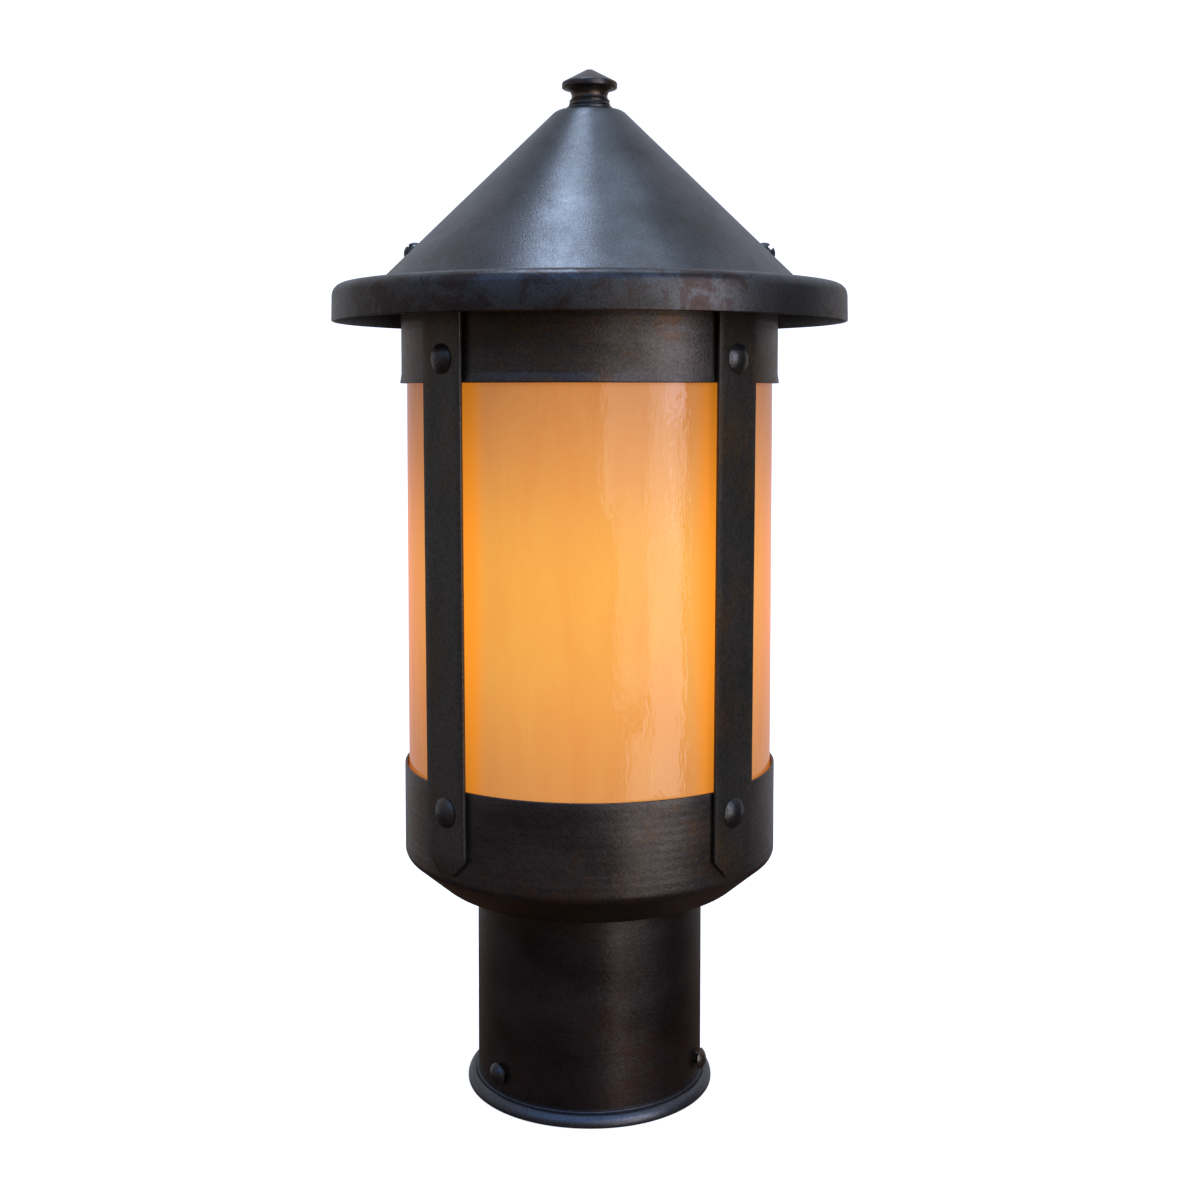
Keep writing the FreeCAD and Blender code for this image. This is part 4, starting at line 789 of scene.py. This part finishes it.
def buildRoof():
    wall, shift = roof["wall"], roof["insideShift"]
    shoulderRadius = roof["radius"] - roof["skirtLean"]
    cone = spinPiece("roofShell", [
        (roof["radius"] - wall, roof["brim"], 0.3), (roof["radius"], roof["brim"], 0.4),
        (shoulderRadius, roof["shoulder"], 4), (roof["coneRadius"], roof["shoulder"], 1.2),
        (roof["topRadius"], roof["top"], 4), (roof["studHole"], roof["top"]),
        (roof["studHole"], roof["top"] - wall), (roof["topRadius"] - shift, roof["top"] - wall, 3),
        (roof["coneRadius"] - shift, roof["shoulder"] - wall, 2.2),
        (shoulderRadius - wall, roof["shoulder"] - wall, 3),
    ], steps=200, pitch=5)
    dent(cone, *roof["hollows"])
    finish(cone, bronze["roof"], "roof", "aged_bronze", "roof_shell")


def slotScrew(name, headRadius, headRise, shank, length, slot, pitch, domed=True):
    # head up from z = 0, thread down from it, slot across +Y
    wide, deep, rounding = screwShape["flatEdge"]
    head = [(headRadius, headRise - deep, rounding), (headRadius - wide, headRise), (0, headRise)]
    if domed:
        head = dome(headRadius, headRise - screwShape["skirt"], screwShape["skirt"], 12)
    screw = spinPiece(name, [
        (0, -0.2), (shank - 0.2, -0.2), (shank, 0), (headRadius - 0.1, 0), *head], steps=48)
    size = Vector((slot[0], 4 * headRadius, 2 * slot[1])) * mm
    bpy.ops.mesh.primitive_cube_add(size=1, location=(0, 0, headRise * mm), scale=size)
    cutAway(screw, applyPlace(bpy.context.object))
    joinInto(screw, [cutThread(name + "Shank", shank, pitch, screwShape["tooth"] * pitch, -length, 0.1)])
    return shadeSmooth(screw, 35)


def hexNut(name, flats, height, bore, pitch):
    # six-sided bar end, its corners turned off at both faces, threaded through
    corner, turnedOff, face = flats / math.sqrt(3), 0.1 * flats, flats / 2 - 0.1
    bpy.ops.object.select_all(action="DESELECT")
    bpy.ops.mesh.primitive_cylinder_add(vertices=6, radius=corner * mm, depth=height * mm,
                                        location=(0, 0, height / 2 * mm), rotation=(0, 0, math.radians(30)))
    nut = applyPlace(bpy.context.object)
    nut.name = nut.data.name = name
    cutAway(nut, spinPiece(name + "Form", [
        (0, -0.01), (face, -0.01), (corner + 0.3, turnedOff), (corner + 0.3, height - turnedOff),
        (face, height + 0.01), (0, height + 0.01)], steps=72), keep="INTERSECT")
    cutAway(nut, cutThread(name + "Tap", bore + 0.1, pitch, 0.3 * pitch, -1.5, height + 1.5, steps=24))
    return shadeSmooth(nut, 30)


def onRoofSlope(angle, spin, drop=0.0):
    # the roof screw's own place: square to the cone, drop mm below its surface
    seat = along(x=roofScrew["reach"], z=roofScrew["seat"])
    return around(angle) @ seat @ around(roof["angle"], "Y") @ around(spin) @ along(z=-drop)


def buildRoofScrews():
    screw = slotScrew("roofScrew", roofScrew["headRadius"], roofScrew["headRise"], roofScrew["shank"],
                      roofScrew["length"], roofScrew["slot"], roofScrew["pitch"])
    nut = hexNut("smallNut", **smallNut)
    for side, angle in (("right", 0), ("left", 180)):
        twin = copyTo(screw, "roofScrew" + side.title(), onRoofSlope(angle, roofScrew["slotTurns"][side]))
        finish(twin, bronze["cast"], "roof", "blackened_steel", "roof_screw_" + side)
        twin = copyTo(nut, "roofScrewNut" + side.title(), onRoofSlope(angle, 30, roofScrew["nutDrop"]))
        finish(twin, zinc, "roof", "zinc_plated_steel", "roof_screw_nut_" + side)
    place(nut, along(z=finial["nutSeat"]))
    finish(nut, zinc, "roof", "zinc_plated_steel", "finial_nut")
    nut.name = "finialNut"
    bpy.data.objects.remove(screw)


finial = {
    "seat": 344.283, "footRadius": 8.0, "footRise": 1.25, "hole": (2.05, 6.0),  # blind, for the stud
    "rings": (7.0, 7.25, 6.95, 7.1, 6.6),  # crests and valleys of the fine beads
    "ringStart": 1.5, "ringStep": 0.62, "neck": [(6.25, 4.6), (6.3, 5.6), (6.85, 6.7), (8.2, 7.5)],
    "flangeRadius": 9.67, "flange": (7.7, 9.7), "capAngle": 28.0, "tipRadius": 1.2, "tipRise": 0.25,
    "nutSeat": 339.483, "stud": (337.99, 349.4), "studRadius": 2.0, "studPitch": 0.8, "studDepth": 0.35,
}


def buildFinial():
    # turned knob: foot, fine beads, waisted neck, flange and a low cone
    radius, (low, high), tip = finial["flangeRadius"], finial["flange"], finial["tipRadius"]
    rings = [(ring, finial["ringStart"] + finial["ringStep"] * number)
             for number, ring in enumerate(finial["rings"])]
    tipStart = high + (radius - tip) * math.tan(math.radians(finial["capAngle"]))
    knob = spinPiece("finial", [
        (0, finial["hole"][1]), finial["hole"], (finial["hole"][0], 0),
        (finial["footRadius"], 0, 0.2), (finial["footRadius"], finial["footRise"], 0.35), *rings,
        *finial["neck"], (radius, low, 0.5), (radius, high, 0.7), (tip, tipStart, 1.0),
        (0, tipStart + finial["tipRise"]),
    ], steps=96)
    place(knob, along(z=finial["seat"]))
    finish(knob, bronze["cast"], "roof", "aged_bronze", "finial")
    stud = cutThread("finialStud", finial["studRadius"], finial["studPitch"], finial["studDepth"],
                     *finial["stud"])
    finish(stud, zinc, "roof", "zinc_plated_steel", "finial_stud")


buildRoof()
buildRoofScrews()
buildFinial()
print("roof made")


nipple = {
    "radius": 5.15, "bore": 3.3, "foot": 64.4, "top": 82.5, "pitch": 1.0, "threadDepth": 0.55,
    "countersink": 0.7,
}
nippleNut = {"flats": 14.3, "height": 3.0}
nippleNutSeats = {"nipple_lower_nut": 66.4, "nipple_upper_nut": 73.0}
innerScrews = {  # name: (head radius, head rise, shank radius, length, slot width and depth, pitch)
    "earthScrew": (4.0, 2.2, 2.0, 4.6, (1.2, 1.2), 0.7),
    "holderScrew": (2.5, 1.8, 1.5, 7.5, (0.8, 1.0), 0.5),
    "terminalScrew": (3.2, 1.6, 1.6, 6.0, (1.0, 0.8), 0.7),
}
earthPlace = (-17.678, 17.678, 70.4)
holderScrewPlace = {"reach": 11.5, "seat": 76.0}
terminalPlace = {"reach": 17.6, "height": 87.0}
lampThread = {
    "pitch": 3.63, "depth": 0.6, "wall": 0.4, "floorHole": 6.5,
    "capRadius": 13.15, "cap": (98.9, 120.8), "shellRadius": 14.25, "shell": (91.0, 119.0),
}


def buildNipple():
    # threaded pipe with countersunk ends, and the two nuts that clamp the cup and the holder on it
    foot, top, bore, edge = nipple["foot"], nipple["top"], nipple["bore"], nipple["countersink"]
    pipe = cutThread("threadedNipple", nipple["radius"], nipple["pitch"], nipple["threadDepth"], foot, top,
                     steps=40)
    cutAway(pipe, spinPiece("nippleBore", [
        (0, foot - 1), (bore + 1 + edge, foot - 1), (bore, foot + edge), (bore, top - edge),
        (bore + 1 + edge, top + 1), (0, top + 1)], steps=48))
    finish(shadeSmooth(pipe, 35), zinc, "lantern", "zinc_plated_steel", "threaded_nipple")
    nut = hexNut("nippleNut", **nippleNut, bore=nipple["radius"], pitch=nipple["pitch"])
    for node, seat in nippleNutSeats.items():
        name = "nippleLowerNut" if "lower" in node else "nippleUpperNut"
        finish(copyTo(nut, name, along(z=seat)), zinc, "lantern", "zinc_plated_steel", node)
    bpy.data.objects.remove(nut)


def buildInnerScrews():
    over = around(180, "X")
    earth = slotScrew("earthScrew", *innerScrews["earthScrew"], domed=False)
    place(earth, along(*earthPlace) @ around(20) @ over)
    finish(earth, greenSteel, "lantern", "green_steel", "earth_screw")
    first = slotScrew("lampholderCapScrews", *innerScrews["holderScrew"])
    seat, reach = along(z=holderScrewPlace["seat"]), along(y=holderScrewPlace["reach"])
    second = copyTo(first, "lampholderCapScrew2", seat @ around(180) @ reach @ around(35) @ over)
    joinInto(place(first, seat @ reach @ around(-15) @ over), [second])
    finish(first, zinc, "lantern", "zinc_plated_steel", "lampholder_cap_screws")
    terminal = slotScrew("terminalScrew", *innerScrews["terminalScrew"], domed=False)
    for name, node, angle, metal, slot in (
            ("lineTerminalScrew", "line_terminal_screw", 0, brass, "brass"),
            ("neutralTerminalScrew", "neutral_terminal_screw", 180, nickel, "nickel_plate")):
        spot = outwards(angle, terminalPlace["height"]) @ along(z=terminalPlace["reach"])
        finish(copyTo(terminal, name, spot @ around(angle / 4 + 15)), metal, "lantern", slot, node)
    bpy.data.objects.remove(terminal)


def rolledShell(name, radius, bottom, top, floorWall=-1):
    # thin sheet rolled into the round-crested lamp thread; with no wall given for its floor it is open below
    pitch, depth, wall = lampThread["pitch"], lampThread["depth"], lampThread["wall"]
    shell = cutThread(name, radius, pitch, depth, bottom, top, rounded=True)
    cutAway(shell, cutThread(name + "Inside", radius - wall, pitch, depth, bottom + floorWall, top + 1,
                             rounded=True))
    return shell


def buildLampThreads():
    cap = rolledShell("lampScrewCap", lampThread["capRadius"], *lampThread["cap"])
    finish(cap, nickel, "lamp", "nickel_plate", "lamp_screw_cap")
    bottom, top = lampThread["shell"]
    shell = rolledShell("lampholderScrewShell", lampThread["shellRadius"], bottom, top, lampThread["wall"])
    hole = lampThread["floorHole"]
    cutAway(shell, spinPiece("shellFloorHole", [
        (0, bottom - 1), (hole, bottom - 1), (hole, bottom + 1), (0, bottom + 1)], steps=48))
    finish(shell, brass, "lantern", "brass", "lampholder_screw_shell")
    shadeSmooth(cap, 40)
    shadeSmooth(shell, 40)


buildNipple()
buildInnerScrews()
buildLampThreads()
print("fittings inside made")
